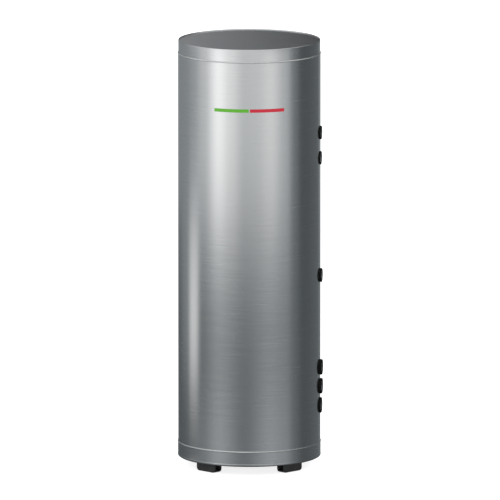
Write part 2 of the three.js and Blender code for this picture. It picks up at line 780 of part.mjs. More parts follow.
function heaterHead() {
  const { radius, endX, thread, threadX } = HEATER_HEAD;
  const seat = HEATER.faceX + GASKET.sheet + 2 * GAP;
  const head = disc(radius, seat, endX, HEX_STEPS);
  return outwards(join(head, [disc(thread, threadX, seat + PAST)]));
}

/** A hairpin element: two legs joined by a half-round bend deep in the tank. */
function heaterElement() {
  const { half, tipX, radius } = ELEMENT;
  const rootX = HEATER_HEAD.threadX - GAP;
  const points = [new THREE.Vector3(rootX, 0, -half)];
  for (let i = 0; i <= 2 * BEND_STEPS; i += 1) {
    const angle = -Math.PI / 2 - (i / (2 * BEND_STEPS)) * Math.PI;
    points.push(new THREE.Vector3(tipX + half * Math.cos(angle), 0, half * Math.sin(angle)));
  }
  points.push(new THREE.Vector3(rootX, 0, half));
  return pipe(points, radius, 0, ELEMENT_STEPS);
}

function thermostatBody() {
  const { halfWidth, halfHeight, corner, backX, faceX } = THERMOSTAT;
  return roundedBlock(halfWidth, halfHeight, corner, [backX, faceX]);
}

/** A dial with a raised bar to grip, on a short shaft. */
function thermostatDial() {
  const { radius, backX, skirtX, faceX, shaft } = DIAL;
  const { halfWidth, rootX, inset } = DIAL_GRIP;
  const skirt = disc(radius, backX, skirtX);
  const grip = block([rootX, faceX], [-halfWidth, halfWidth], [-radius + inset, radius - inset]);
  const stem = disc(shaft, THERMOSTAT.faceX + GAP, backX + PAST, HOLE_STEPS);
  return join(outwards(skirt), [grip, outwards(stem)]);
}

function resetButton() {
  return outwards(disc(BUTTON.radius, BUTTON.backX, BUTTON.faceX));
}

// Materials

function look(color, roughness, metalness) {
  return new THREE.MeshStandardMaterial({ color, roughness, metalness });
}

const stainless = look(0xb9bcbe, 0.32, 1);
const galvanised = look(0x9a9da0, 0.5, 1);
const enamelled = look(0x2f4a6d, 0.35, 0.1);
const brass = look(0xc9a45a, 0.35, 1);
const blackPlastic = look(0x141416, 0.45, 0);
const rubber = look(0x1d1d1f, 0.8, 0);
const foam = look(0xe8dcae, 0.95, 0);
const magnesium = look(0xc4c6c8, 0.5, 1);
const greenEnamel = look(0x4caf2f, 0.3, 0);
const redEnamel = look(0xc4202c, 0.3, 0);
const greyPlastic = look(0x77797c, 0.5, 0);
const redPlastic = look(0xb3261e, 0.4, 0);

// Assembly

const heater = new THREE.Group();

function addMesh(parent, name, geometry, material) {
  const mesh = new THREE.Mesh(cleaned(geometry), material);
  mesh.name = name;
  parent.add(mesh);
  return mesh;
}

/** A group whose X axis points outwards at an angle about the tank's axis, at a height. */
function station(azimuth, height) {
  const group = new THREE.Group();
  group.rotation.z = radians(azimuth);
  group.position.z = height;
  heater.add(group);
  return group;
}

addMesh(heater, "base_pan", basePan(), stainless);
addMesh(heater, "casing_wrap", casingWrap(), stainless);
addMesh(heater, "lid", lid(), stainless);
addMesh(heater, "foam_jacket", foamJacket(), foam);
addMesh(heater, "tank_shell", tankShell(), enamelled);
addMesh(heater, "tank_top_head", tankHead(1), enamelled);
addMesh(heater, "tank_bottom_head", tankHead(-1), enamelled);
addMesh(heater, "support_ring", supportRing(), galvanised);

for (const [place, azimuth] of Object.entries(FOOT_AZIMUTHS)) {
  const corner = station(azimuth, 0);
  for (const [name, geometry, material] of [
    [`foot_${place}`, foot(), blackPlastic],
    [`foot_bolt_${place}`, footBolt(), galvanised],
    [`weld_nut_${place}`, weldNut(), galvanised],
  ]) {
    addMesh(corner, name, geometry, material).position.x = FOOT_CIRCLE;
  }
}

const portStations = {};
for (const [name, port] of Object.entries(PORTS)) {
  const { height, ring, proud, socket, bore } = port;
  const group = station(PORT_AZIMUTH, height);
  const endX = CASING_RADIUS + proud - SOCKET_RECESS;
  addMesh(group, `${name}_socket`, portSocket(socket, bore, endX), stainless);
  addMesh(group, `${name}_ring`, trimRing(ring, socket, proud, PORT_AZIMUTH), blackPlastic);
  portStations[name] = group;
}
addMesh(station(PORT_AZIMUTH, 0), "solar_coil", solarCoil(), enamelled);
addMesh(portStations.hot_outlet, "hot_outlet_riser", dipPipe(PORTS.hot_outlet, RISER_TOP_Z), stainless);
addMesh(portStations.cold_inlet, "cold_inlet_diffuser", dipPipe(PORTS.cold_inlet, DIFFUSER_END_Z), stainless);
addMesh(portStations.sensor, "sensor_pocket", sensorPocket(), brass);

const anodeStation = station(REAR_AZIMUTH, ANODE_Z);
const anodeEnd = CASING_RADIUS + ANODE.proud - SOCKET_RECESS;
addMesh(anodeStation, "anode_socket", portSocket(ANODE.socket, ANODE.bore, anodeEnd), brass);
const anodeTrim = trimRing(ANODE.ring, ANODE.socket, ANODE.proud, REAR_AZIMUTH);
addMesh(anodeStation, "anode_ring", anodeTrim, blackPlastic);
addMesh(anodeStation, "anode_plug", anodePlug(), brass);
addMesh(anodeStation, "anode_rod", anodeRod(), magnesium);

const boosterStation = station(REAR_AZIMUTH, BOOSTER_Z);
addMesh(boosterStation, "terminal_pocket", terminalPocket(), greyPlastic);
addMesh(boosterStation, "booster_cover", boosterCover(), blackPlastic);
addMesh(boosterStation, "cable_gland", cableGland(), blackPlastic);
for (const [place, z] of [["lower", -POST.z], ["upper", POST.z]]) {
  addMesh(boosterStation, `cover_screw_${place}`, coverScrew(), stainless).position.z = z;
}
for (const [name, geometry, material] of [
  ["heater_socket", heaterSocket(), galvanised],
  ["heater_gasket", heaterGasket(), rubber],
  ["heater_head", heaterHead(), brass],
  ["heater_element", heaterElement(), stainless],
]) {
  addMesh(boosterStation, name, geometry, material).position.z = HEATER.z;
}
addMesh(boosterStation, "thermostat_body", thermostatBody(), greyPlastic).position.z = THERMOSTAT.z;
addMesh(boosterStation, "thermostat_dial", thermostatDial(), greyPlastic).position.z = THERMOSTAT.z;
addMesh(boosterStation, "reset_button", resetButton(), redPlastic).position.set(0, BUTTON.y, THERMOSTAT.z);

addMesh(station(PLUG.azimuth, PLUG.height), "foam_plug", foamPlug(), blackPlastic);
addMesh(station(EARTH.azimuth, EARTH.height), "earth_stud", earthStud(), brass);
addMesh(station(PLATE.azimuth, PLATE.height), "rating_plate", ratingPlate(), galvanised);
const front = station(-REAR_AZIMUTH, BADGE.height);
addMesh(front, "badge_stripe_left", badgeStripe(-1), greenEnamel);
addMesh(front, "badge_stripe_right", badgeStripe(1), redEnamel);

export default heater;
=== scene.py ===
"""The looks of a floor-standing solar storage tank: brushed steel casing, black ports and feet."""
import json
import math

import bmesh
import bpy
from mathutils import Matrix, Vector, noise


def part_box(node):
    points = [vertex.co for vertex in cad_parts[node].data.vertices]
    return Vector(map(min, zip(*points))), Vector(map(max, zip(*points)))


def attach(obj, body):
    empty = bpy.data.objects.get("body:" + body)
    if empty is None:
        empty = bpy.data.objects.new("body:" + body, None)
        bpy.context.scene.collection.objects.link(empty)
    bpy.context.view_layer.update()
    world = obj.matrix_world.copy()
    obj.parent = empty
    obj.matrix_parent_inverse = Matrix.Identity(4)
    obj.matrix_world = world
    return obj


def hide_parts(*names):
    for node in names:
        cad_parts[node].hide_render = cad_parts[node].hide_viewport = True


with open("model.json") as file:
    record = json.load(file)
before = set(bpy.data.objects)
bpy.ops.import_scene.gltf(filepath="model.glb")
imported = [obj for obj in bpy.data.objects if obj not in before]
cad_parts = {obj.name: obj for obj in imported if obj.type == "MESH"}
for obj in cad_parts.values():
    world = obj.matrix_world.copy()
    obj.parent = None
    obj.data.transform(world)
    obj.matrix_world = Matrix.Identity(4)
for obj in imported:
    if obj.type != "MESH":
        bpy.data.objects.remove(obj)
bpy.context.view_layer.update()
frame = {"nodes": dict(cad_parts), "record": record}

MM = 0.001
nodes = frame["nodes"]
TANK = "tank"

# Sizes that the frame gives
PAN_LOW, PAN_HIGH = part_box("base_pan")
WRAP_LOW, WRAP_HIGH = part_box("casing_wrap")
LID_LOW, LID_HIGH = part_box("lid")
PAN_RADIUS = PAN_HIGH.x
LID_RADIUS = LID_HIGH.x
CASING_RADIUS = PAN_RADIUS - 1.4 * MM
SHEET = 0.8 * MM
ROUND = 256  # steps round the casing
PORT_ANGLE = math.radians(-7.5)
REAR_ANGLE = math.radians(90)
SEAM_ANGLE = math.radians(150)
FOAM_PLUG_ANGLE = math.radians(112.5)
EARTH_STUD_ANGLE = math.radians(67.5)
PORT_BORE, SENSOR_BORE, ANODE_BORE = 12 * MM, 9.3 * MM, 13.6 * MM
PORT_NAMES = ("hot_outlet", "relief_valve", "solar_flow", "sensor", "solar_return", "cold_inlet")
FOOT_NAMES = ("front_right", "back_right", "back_left", "front_left")


def middle(node):
    low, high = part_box(node)
    return (low + high) / 2


# ---------------------------------------------------------------- camera and stage

VIEW_TILT = math.radians(9.5)
VIEW_WIDTH = 1.8235  # metres across the picture at the object
VIEW_TARGET = Vector((0.0025, 0, 0.7925))
LENS = 1000  # long enough for a view with hardly any perspective


def make_camera():
    data = bpy.data.cameras.new("camera")
    data.lens = LENS
    data.clip_end = 300
    distance = VIEW_WIDTH * data.lens / data.sensor_width
    camera = bpy.data.objects.new("camera", data)
    camera.location = VIEW_TARGET + distance * Vector((0, -math.cos(VIEW_TILT), math.sin(VIEW_TILT)))
    camera.rotation_euler = (math.pi / 2 - VIEW_TILT, 0, 0)
    bpy.context.scene.collection.objects.link(camera)
    bpy.context.scene.camera = camera


# ---------------------------------------------------------------- node materials

class Recipe:
    """A node material under construction."""

    def __init__(self, name, values):
        self.material = bpy.data.materials.new(name)
        self.material.use_nodes = True
        self.tree = self.material.node_tree
        self.shader = self.tree.nodes["Principled BSDF"]
        self.place = self.add("ShaderNodeTexCoord").outputs["Object"]
        for key, value in values.items():
            self.shader.inputs[key].default_value = value

    def add(self, kind, inputs=None, **settings):
        node = self.tree.nodes.new(kind)
        for key, value in settings.items():
            setattr(node, key, value)
        for key, value in (inputs or {}).items():
            if isinstance(value, bpy.types.NodeSocket):
                self.tree.links.new(value, node.inputs[key])
            else:
                node.inputs[key].default_value = value
        return node

    def wire(self, output, name):
        self.tree.links.new(output, self.shader.inputs[name])

    def noise(self, scale, detail=3.0, rough=0.5):
        """Noise whose grain is stretched by a scale along each axis, in cycles per metre."""
        stretched = self.add("ShaderNodeMapping", {"Vector": self.place, "Scale": scale})
        settings = {"Vector": stretched.outputs["Vector"], "Scale": 1.0, "Detail": detail, "Roughness": rough}
        return self.add("ShaderNodeTexNoise", settings).outputs["Fac"]

    def cells(self, scale):
        return self.add("ShaderNodeTexVoronoi", {"Vector": self.place, "Scale": scale}).outputs["Distance"]

    def span(self, value, low, high, to_low, to_high, curve="LINEAR"):
        settings = {"Value": value, "From Min": low, "From Max": high, "To Min": to_low, "To Max": to_high}
        return self.add("ShaderNodeMapRange", settings, interpolation_type=curve).outputs["Result"]

    def step(self, value, low, high):
        return self.span(value, low, high, 0.0, 1.0, "SMOOTHSTEP")

    def math(self, operation, first, second=0.0):
        return self.add("ShaderNodeMath", {0: first, 1: second}, operation=operation).outputs[0]

    def blend(self, factor, first, second):
        node = self.add("ShaderNodeMix", data_type="RGBA")
        for key, value in (("Factor", factor), ("A", first), ("B", second)):
            socket = next(s for s in node.inputs if s.name == key and s.enabled)
            if isinstance(value, bpy.types.NodeSocket):
                self.tree.links.new(value, socket)
            else:
                socket.default_value = (*value, 1.0) if key != "Factor" else value
        return next(s for s in node.outputs if s.enabled)

    def colour(self, factor, first, second):
        self.wire(self.blend(factor, first, second), "Base Color")

    def bump(self, height, strength, distance):
        settings = {"Height": height, "Strength": strength, "Distance": distance}
        self.wire(self.add("ShaderNodeBump", settings).outputs["Normal"], "Normal")


def brushed_steel(name, grain, tone=1.0, stretch=0.55, cool=0.0):
    """Hairline stainless steel. grain is the noise scale along X, Y and Z, and stretch is its anisotropy."""
    recipe = Recipe(name, {"Metallic": 1.0, "Anisotropic": stretch})
    lines = recipe.noise(grain, detail=4.0, rough=0.6)
    clouds = recipe.noise((2.3, 2.3, 1.1), detail=2.0)
    greener = tuple(tone * part for part in (0.588, 0.603, 0.6))
    redder = tuple(tone * part for part in (0.605, 0.6, 0.612))
    patches = recipe.blend(clouds, greener, redder)
    shade = recipe.span(lines, 0.3, 0.7, 0.93, 1.05)
    scaled = recipe.add("ShaderNodeVectorMath", {0: patches, 3: shade}, operation="SCALE")
    tint = (1 - cool, 1.0, 1 + cool)
    tinted = recipe.add("ShaderNodeVectorMath", {0: scaled.outputs["Vector"], 1: tint}, operation="MULTIPLY")
    recipe.wire(tinted.outputs["Vector"], "Base Color")
    recipe.wire(recipe.span(lines, 0.25, 0.75, 0.2, 0.28), "Roughness")
    if stretch:
        around = recipe.add("ShaderNodeTangent", direction_type="RADIAL", axis="Z")
        recipe.wire(around.outputs["Tangent"], "Tangent")
        recipe.shader.inputs["Anisotropic Rotation"].default_value = 0.25
    recipe.bump(lines, 0.012, 0.15 * MM)
    return recipe.material


def moulded_plastic(name, dark, light, roughness, grain=900.0, shine=0.5):
    """Plastic with a fine spark-eroded texture and slightly scuffed high spots."""
    recipe = Recipe(name, {"Specular IOR Level": shine})
    blotches = recipe.noise((18, 18, 18), detail=4.0)
    pores = recipe.cells(grain)
    recipe.colour(recipe.span(blotches, 0.35, 0.7, 0.0, 1.0), dark, light)
    recipe.wire(recipe.span(blotches, 0.3, 0.7, roughness - 0.06, roughness + 0.08), "Roughness")
    recipe.bump(pores, 0.25, 0.1 * MM)
    return recipe.material


def turned_metal(name, dark, light, roughness):
    """Machined metal with fine tool marks and a thin tarnish."""
    recipe = Recipe(name, {"Metallic": 1.0})
    tarnish = recipe.noise((40, 40, 40), detail=5.0)
    marks = recipe.noise((900, 60, 60), detail=2.0)
    recipe.colour(tarnish, dark, light)
    recipe.wire(recipe.span(tarnish, 0.3, 0.7, roughness + 0.1, roughness - 0.05), "Roughness")
    recipe.bump(marks, 0.12, 0.1 * MM)
    return recipe.material


def enamel(name, dark, light, roughness=0.12, coat=0.5):
    """Glossy enamel with a faint orange-peel surface."""
    recipe = Recipe(name, {"Coat Weight": coat, "Coat Roughness": 0.05})
    peel = recipe.noise((260, 260, 260), detail=2.0)
    tone = recipe.noise((30, 30, 30), detail=3.0)
    recipe.colour(tone, dark, light)
    recipe.wire(recipe.span(tone, 0.3, 0.7, roughness, roughness + 0.08), "Roughness")
    recipe.bump(peel, 0.06, 0.1 * MM)
    return recipe.material


def foam_material(name):
    recipe = Recipe(name, {"Roughness": 0.95})
    cells = recipe.cells(700.0)
    tone = recipe.noise((25, 25, 25), detail=4.0)
    recipe.colour(tone, (0.62, 0.5, 0.27), (0.78, 0.68, 0.42))
    recipe.bump(cells, 0.5, 0.4 * MM)
    return recipe.material


def make_materials():
    """Every material, by the name of its recipe, with what that recipe is told."""
    made = (
        (brushed_steel, "casing_steel", (7, 7, 1300)),
        (brushed_steel, "lid_steel", (3, 500, 500), 1.0, 0.0, 0.05),
        (brushed_steel, "plate_metal", (900, 9, 900), 1.15, 0.0),
        # a brighter, rougher metal that paints a highlight on the upper faces of the rolled beads
        (turned_metal, "bead_painted_highlight", (0.6, 0.61, 0.615), (0.7, 0.71, 0.71), 0.46),
        (turned_metal, "zinc_plated_steel", (0.5, 0.51, 0.52), (0.68, 0.69, 0.7), 0.3),
        (turned_metal, "pipe_steel", (0.5, 0.5, 0.51), (0.66, 0.66, 0.67), 0.28),
        (turned_metal, "anode_metal", (0.42, 0.43, 0.44), (0.6, 0.61, 0.62), 0.5),
        (turned_metal, "socket_brass", (0.55, 0.37, 0.14), (0.8, 0.6, 0.3), 0.26),
        (enamel, "enamelled_steel", (0.012, 0.03, 0.09), (0.02, 0.05, 0.14), 0.15),
        (enamel, "button_plastic", (0.4, 0.015, 0.01), (0.52, 0.025, 0.02), 0.2),
        (enamel, "green_enamel", (0.075, 0.33, 0.006), (0.09, 0.38, 0.01), 0.3, 0.05),
        (enamel, "red_enamel", (0.44, 0.001, 0.016), (0.5, 0.002, 0.022), 0.3, 0.05),
        (enamel, "print_white", (0.7, 0.7, 0.69), (0.78, 0.78, 0.77), 0.35),
        (foam_material, "foam"),
        (moulded_plastic, "foot_plastic", (0.016, 0.016, 0.017), (0.032, 0.032, 0.033), 0.55, 600.0),
        (moulded_plastic, "black_plastic", (0.003, 0.003, 0.0033), (0.007, 0.007, 0.0073), 0.6, 900.0, 0.1),
        (moulded_plastic, "pocket_plastic", (0.16, 0.165, 0.17), (0.22, 0.225, 0.23), 0.5),
        (moulded_plastic, "cover_plastic", (0.018, 0.0185, 0.02), (0.03, 0.031, 0.033), 0.45),
        (moulded_plastic, "dial_plastic", (0.3, 0.31, 0.32), (0.38, 0.39, 0.4), 0.4),
        (moulded_plastic, "gasket_rubber", (0.012, 0.012, 0.012), (0.025, 0.025, 0.025), 0.7),
        (moulded_plastic, "plate_field", (0.5, 0.51, 0.52), (0.56, 0.57, 0.58), 0.35, 1500.0),
        (moulded_plastic, "thermostat_black", (0.03, 0.031, 0.034), (0.05, 0.051, 0.055), 0.45),
        (moulded_plastic, "ceramic", (0.5, 0.47, 0.41), (0.62, 0.59, 0.52), 0.35, 700.0),
    )
    found = {name: recipe(name, *values) for recipe, name, *values in made}
    found["trim_plastic"] = found.pop("black_plastic")
    return found


# ---------------------------------------------------------------- mesh making

TINY = 1e-9
WELD = 1e-7  # vertices nearer than this are one
CORNER_STEPS = 5  # steps in a fillet of a lathed outline
SHARP = 32.0  # an edge sharper than this, in degrees, is not shaded smooth


def to_mesh(name, bm, sharp_degrees=SHARP):
    bmesh.ops.remove_doubles(bm, verts=bm.verts, dist=WELD)
    bmesh.ops.recalc_face_normals(bm, faces=bm.faces)
    mesh = bpy.data.meshes.new(name)
    bm.to_mesh(mesh)
    bm.free()
    smoothed(mesh, sharp_degrees)
    return mesh


def smoothed(mesh, sharp_degrees):
    """Shades a mesh smooth, except across edges sharper than an angle."""
    for face in mesh.polygons:
        face.use_smooth = True
    mesh.set_sharp_from_angle(angle=math.radians(sharp_degrees))


def make_piece(name, shape, body, material, node=None, place=None, sharp=SHARP):
    mesh = shape if isinstance(shape, bpy.types.Mesh) else to_mesh(name, shape, sharp)
    if place:
        mesh.transform(place)
    piece = bpy.data.objects.new(name, mesh)
    bpy.context.scene.collection.objects.link(piece)
    mesh.materials.clear()
    mesh.materials.append(materials[material])
    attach(piece, body)
    if node:
        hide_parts(node)
    return piece


def filleted(outline):
    """Points of a closed outline whose corners are (x, y, radius), each rounded by its radius."""
    points = []
    count = len(outline)
    for i, (x, y, radius) in enumerate(outline):
        here = Vector((x, y))
        before = Vector(outline[i - 1][:2])
        after = Vector(outline[(i + 1) % count][:2])
        if radius <= 0:
            points.append(here)
            continue
        back = (before - here).normalized()
        ahead = (after - here).normalized()
        half = back.angle(ahead) / 2
        reach = radius / math.tan(half)
        centre = here + (back + ahead).normalized() * (radius / math.sin(half))
        start = here + back * reach - centre
        finish = here + ahead * reach - centre
        turn = start.angle_signed(finish)
        for step in range(CORNER_STEPS + 1):
            points.append(centre + Matrix.Rotation(-turn * step / CORNER_STEPS, 2) @ start)
    return points


def round_row(steps, z, radius):
    """Points round the Z axis at a height. radius is a number, or a function of the turn from 0 to 1."""
    points = []
    for i in range(steps):
        turn = i / steps
        angle = 2 * math.pi * i / steps
        r = radius(turn) if callable(radius) else radius
        points.append((r * math.cos(angle), r * math.sin(angle), z))
    return points


def lathe(outline, steps=ROUND):
    """A bmesh turned about Z from corners (radius, z, fillet). The outline may touch the axis."""
    bm = bmesh.new()
    rings = []
    for r, z in filleted(outline):
        points = [(0, 0, z)] if abs(r) < TINY else round_row(steps, z, r)
        rings.append([bm.verts.new(point) for point in points])
    for lower, upper in zip(rings, rings[1:] + rings[:1]):
        if len(lower) == 1 and len(upper) == 1:
            continue
        for i in range(steps):
            j = (i + 1) % steps
            around = ((lower, i), (lower, j), (upper, j), (upper, i))
            corners = [ring[step % len(ring)] for ring, step in around]
            unique = list(dict.fromkeys(corners))
            if len(unique) > 2:
                bm.faces.new(unique)
    return bm


def turned(base, steps, *outline):
    """A lathed bmesh from corners (radius, height above the base, fillet) in millimetres."""
    return lathe([(r * MM, base + z * MM, fillet * MM) for r, z, fillet in outline], steps)


def station(angle, height=0.0):
    """The matrix of a station whose X axis points outwards at an angle, at a height."""
    return Matrix.Translation((0, 0, height)) @ Matrix.Rotation(angle, 4, "Z")


TO_OUTWARDS = Matrix.Rotation(math.pi / 2, 4, "Y")  # turns Z to point outwards along X


def outward_at(y, z):
    return Matrix.Translation((0, y, z)) @ TO_OUTWARDS


def outward_station(angle, node):
    """The matrix of what is drawn along Z and stands outwards at an angle, at a node's height."""
    return station(angle, middle(node).z) @ TO_OUTWARDS


def shifted(bm, matrix):
    bmesh.ops.transform(bm, matrix=matrix, verts=bm.verts)
    return bm


def bent_round(bm):
    """Bends a bmesh round the casing: X is kept as the radius, and Y as the length of arc."""
    for vertex in bm.verts:
        radius, turn = vertex.co.x, vertex.co.y / CASING_RADIUS
        vertex.co.x, vertex.co.y = radius * math.cos(turn), radius * math.sin(turn)
    return bm


def rounded_loop(half_width, half_height, corner, per_corner=8):
    """Points round a rectangle with round corners, in the plane of two axes."""
    points = []
    for quarter, (sx, sy) in enumerate(((1, 1), (-1, 1), (-1, -1), (1, -1))):
        for step in range(per_corner + 1):
            angle = math.pi / 2 * (quarter + step / per_corner)
            x = sx * (half_width - corner) + corner * math.cos(angle)
            y = sy * (half_height - corner) + corner * math.sin(angle)
            points.append((x, y))
    return points


def bridged(loops, close_first=True, close_last=True):
    """A bmesh of faces between loops of equal length, with caps on the first and last."""
    bm = bmesh.new()
    rows = [[bm.verts.new(point) for point in loop] for loop in loops]
    for low, high in zip(rows, rows[1:]):
        for i in range(len(low)):
            j = (i + 1) % len(low)
            bm.faces.new((low[i], low[j], high[j], high[i]))
    if close_first:
        bm.faces.new(rows[0][::-1])
    if close_last:
        bm.faces.new(rows[-1])
    return bm


def block(half_width, half_height, corner, sections, per_corner=8, least=0.4 * MM, lift=0.0):
    """A block along X from sections (x, inset) of a rectangle in Y and Z with round corners."""
    loops = []
    for x, inset in sections:
        radius = max(corner - inset, least)
        outline = rounded_loop(half_width - inset, half_height - inset, radius, per_corner)
        loops.append([(x, y, z + lift) for y, z in outline])
    return bridged(loops)


def cut_mesh(mesh, cutters):
    """The mesh with closed cutter meshes taken out of it."""
    body = bpy.data.objects.new("cut_body", mesh)
    bpy.context.scene.collection.objects.link(body)
    tools = []
    for cutter in cutters:
        tool = bpy.data.objects.new("cut_tool", cutter)
        bpy.context.scene.collection.objects.link(tool)
        modifier = body.modifiers.new("cut", "BOOLEAN")
        modifier.operation = "DIFFERENCE"
        modifier.solver = "EXACT"
        modifier.object = tool
        tools.append(tool)
    depsgraph = bpy.context.evaluated_depsgraph_get()
    result = bpy.data.meshes.new_from_object(body.evaluated_get(depsgraph))
    for spare in [body, *tools]:
        data = spare.data
        bpy.data.objects.remove(spare)
        bpy.data.meshes.remove(data)
    return result


def cut_bmesh(bm, *cutters):
    """A bmesh with others taken out of it, still a bmesh."""
    mesh = cut_mesh(to_mesh("blank", bm), [to_mesh("cutter", cutter) for cutter in cutters])
    result = bmesh.new()
    result.from_mesh(mesh)
    bpy.data.meshes.remove(mesh)
    return result


def finish_edges(mesh, width):
    """Rounds the sharp edges of a mesh in place."""
    bm = bmesh.new()
    bm.from_mesh(mesh)
    bmesh.ops.remove_doubles(bm, verts=bm.verts, dist=10 * WELD)
    bmesh.ops.dissolve_limit(bm, angle_limit=math.radians(0.5), verts=bm.verts, edges=bm.edges)
    sharp = [e for e in bm.edges if e.is_manifold and e.calc_face_angle() > math.radians(30)]
    bmesh.ops.bevel(
        bm,
        geom=sharp,
        offset=width,
        offset_type="OFFSET",
        segments=2,
        profile=0.5,
        affect="EDGES",
        clamp_overlap=True,
    )
    bm.to_mesh(mesh)
    bm.free()
    smoothed(mesh, 40)


def merged(first, *others):
    """The first bmesh with the others' shells added to it."""
    for other in others:
        spare = bpy.data.meshes.new("spare")
        other.to_mesh(spare)
        other.free()
        first.from_mesh(spare)
        bpy.data.meshes.remove(spare)
    return first


def hex_head(radius, low, high, up):
    """A hexagon head along Z whose outer end, at low or at high, has its corners turned off."""
    flat = radius * math.cos(math.pi / 6)
    outer, inner = (high, low) if up < 0 else (low, high)
    chamfer = 0.28 * (radius - flat) + 0.5 * MM
    sign = 1 if inner > outer else -1
    sections = (
        (outer, flat - 0.6 * MM), (outer + sign * 0.35 * MM, flat), (outer + sign * chamfer, radius),
        (inner, radius),
    )

    def hexagon(turn):
        return min(flat / math.cos((turn * 6 % 1.0 - 0.5) * math.pi / 3), limit)

    rows = []
    for z, limit in sections:
        rows.append(round_row(48, z, hexagon))
    return bridged(rows)


def threaded(radius, low, high, pitch, depth, steps=32):
    """A closed rod along Z with a helical thread that fades out at both ends."""
    rows = []
    count = max(8, round((high - low) / pitch * 6))

    def grooved(turn):
        return radius - depth * (1 - fade * abs(2 * ((z / pitch - turn) % 1.0) - 1))

    for i in range(count + 1):
        z = low + (high - low) * i / count
        fade = min(1.0, i / 4, (count - i) / 4)
        rows.append(round_row(steps, z, grooved))
    return bridged(rows)


def hex_plug(radius, reach, seat, low, high, thread):
    """A plug along Z: a hexagon head on a round washer face of radius reach, with a thread below."""
    head = hex_head(radius, seat + MM, high, -1)
    top = seat + 1.4 * MM
    washer = lathe(rod(reach, seat, top, 0.4 * MM, 0.4 * MM), 64)
    thread_radius, pitch, depth, steps = thread
    return merged(head, washer, threaded(thread_radius, low, seat + 0.4 * MM, pitch, depth, steps))


def rod(radius, low, high, low_fillet=0, high_fillet=0):
    """The outline of a solid rod, for the lathe."""
    return [(0, low, 0), (radius, low, low_fillet), (radius, high, high_fillet), (0, high, 0)]


def turned_cutter(outline, matrix, steps=48):
    return to_mesh("cutter", shifted(lathe(outline, steps), matrix))


def round_cutter(radius, low, high, matrix):
    return turned_cutter(rod(radius, low, high), matrix)


def smooth_round_walls(mesh):
    """Gives every upright face of the casing a normal that points straight away from the axis."""
    smoothed(mesh, SHARP)
    upright = 0.98  # how nearly a face has to point away from the axis
    normals = [None] * len(mesh.loops)
    for face in mesh.polygons:
        centre = Vector((face.center.x, face.center.y, 0)).normalized()
        along = face.normal.dot(centre)
        for loop in face.loop_indices:
            normals[loop] = mesh.corner_normals[loop].vector.copy()
            if abs(along) > upright:
                corner = mesh.vertices[mesh.loops[loop].vertex_index].co
                outward = Vector((corner.x, corner.y, 0)).normalized()
                normals[loop] = outward if along > 0 else -outward
    mesh.normals_split_custom_set(normals)


# ---------------------------------------------------------------- casing

BEAD_FOOT = 4.2 * MM  # how far below a sheet's top edge its rolled bead starts
CUT_FROM, CUT_TO = 0.2, 0.3  # the radii between which the casing's openings are cut


def paint_bead_highlight(piece, top):
    """Paints a highlight on the rolled bead below a sheet's top edge: its upper and outer faces, which face
    the light from above, get a brighter, rougher metal.
    """
    piece.data.materials.append(materials["bead_painted_highlight"])
    for face in piece.data.polygons:
        centre = face.center
        outside = math.hypot(centre.x, centre.y) > CASING_RADIUS - MM
        # painted highlight: only faces that don't point down, where light from above falls, get the brighter
        # metal
        if outside and centre.z > top - BEAD_FOOT and face.normal.z > -0.2:
            face.material_index = 1


def make_casing():
    top = WRAP_HIGH.z
    crest = WRAP_HIGH.x
    inner = CASING_RADIUS - SHEET
    bm = lathe([
        (inner, WRAP_LOW.z, 0), (CASING_RADIUS, WRAP_LOW.z, 0), (CASING_RADIUS, top - 5 * MM, 0.5 * MM),
        (crest, top - 4 * MM, 0.8 * MM), (crest, top - 3 * MM, 1.2 * MM),
        (CASING_RADIUS - 0.9 * MM, top, 0.4 * MM), (inner, top, 0),
    ])
    clearance = 3 * MM
    cutters = []
    for name in PORT_NAMES:
        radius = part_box(f"{name}_socket")[1].z - middle(f"{name}_socket").z + clearance
        place = outward_station(PORT_ANGLE, f"{name}_ring")
        cutters.append(round_cutter(radius, CUT_FROM, CUT_TO, place))
    anode = outward_station(REAR_ANGLE, "anode_plug")
    cutters.append(round_cutter(22.5 * MM, CUT_FROM, CUT_TO, anode))
    window = block(66 * MM, 96 * MM, 10 * MM, ((CUT_FROM, 0), (CUT_TO, 0)))
    place = station(REAR_ANGLE, middle("booster_cover").z)
    cutters.append(to_mesh("window", shifted(window, place)))
    mesh = cut_mesh(to_mesh("casing_wrap", bm), cutters)
    smooth_round_walls(mesh)
    paint_bead_highlight(make_piece("casing_wrap_sheet", mesh, TANK, "casing_steel", "casing_wrap"), top)


def make_lid():
    top = LID_HIGH.z
    plate = top - 3 * MM
    inner = LID_RADIUS - SHEET
    rim = LID_RADIUS - 3.6 * MM
    bm = lathe([
        (0, plate - SHEET, 0), (inner, plate - SHEET, MM), (inner, LID_LOW.z, 0),
        (LID_RADIUS, LID_LOW.z, 0), (LID_RADIUS, top, 1.4 * MM), (rim + 0.6 * MM, top, 1.2 * MM),
        (rim, plate, 0.8 * MM), (rim - 8 * MM, plate, 0), (0, plate + 1.2 * MM, 0),
    ])
    piece = make_piece("lid_sheet", bm, TANK, "casing_steel", "lid")
    piece.data.materials.append(materials["lid_steel"])
    for face in piece.data.polygons:
        if face.normal.z > 0.9 and face.center.z > plate - 0.1 * MM:
            face.material_index = 1


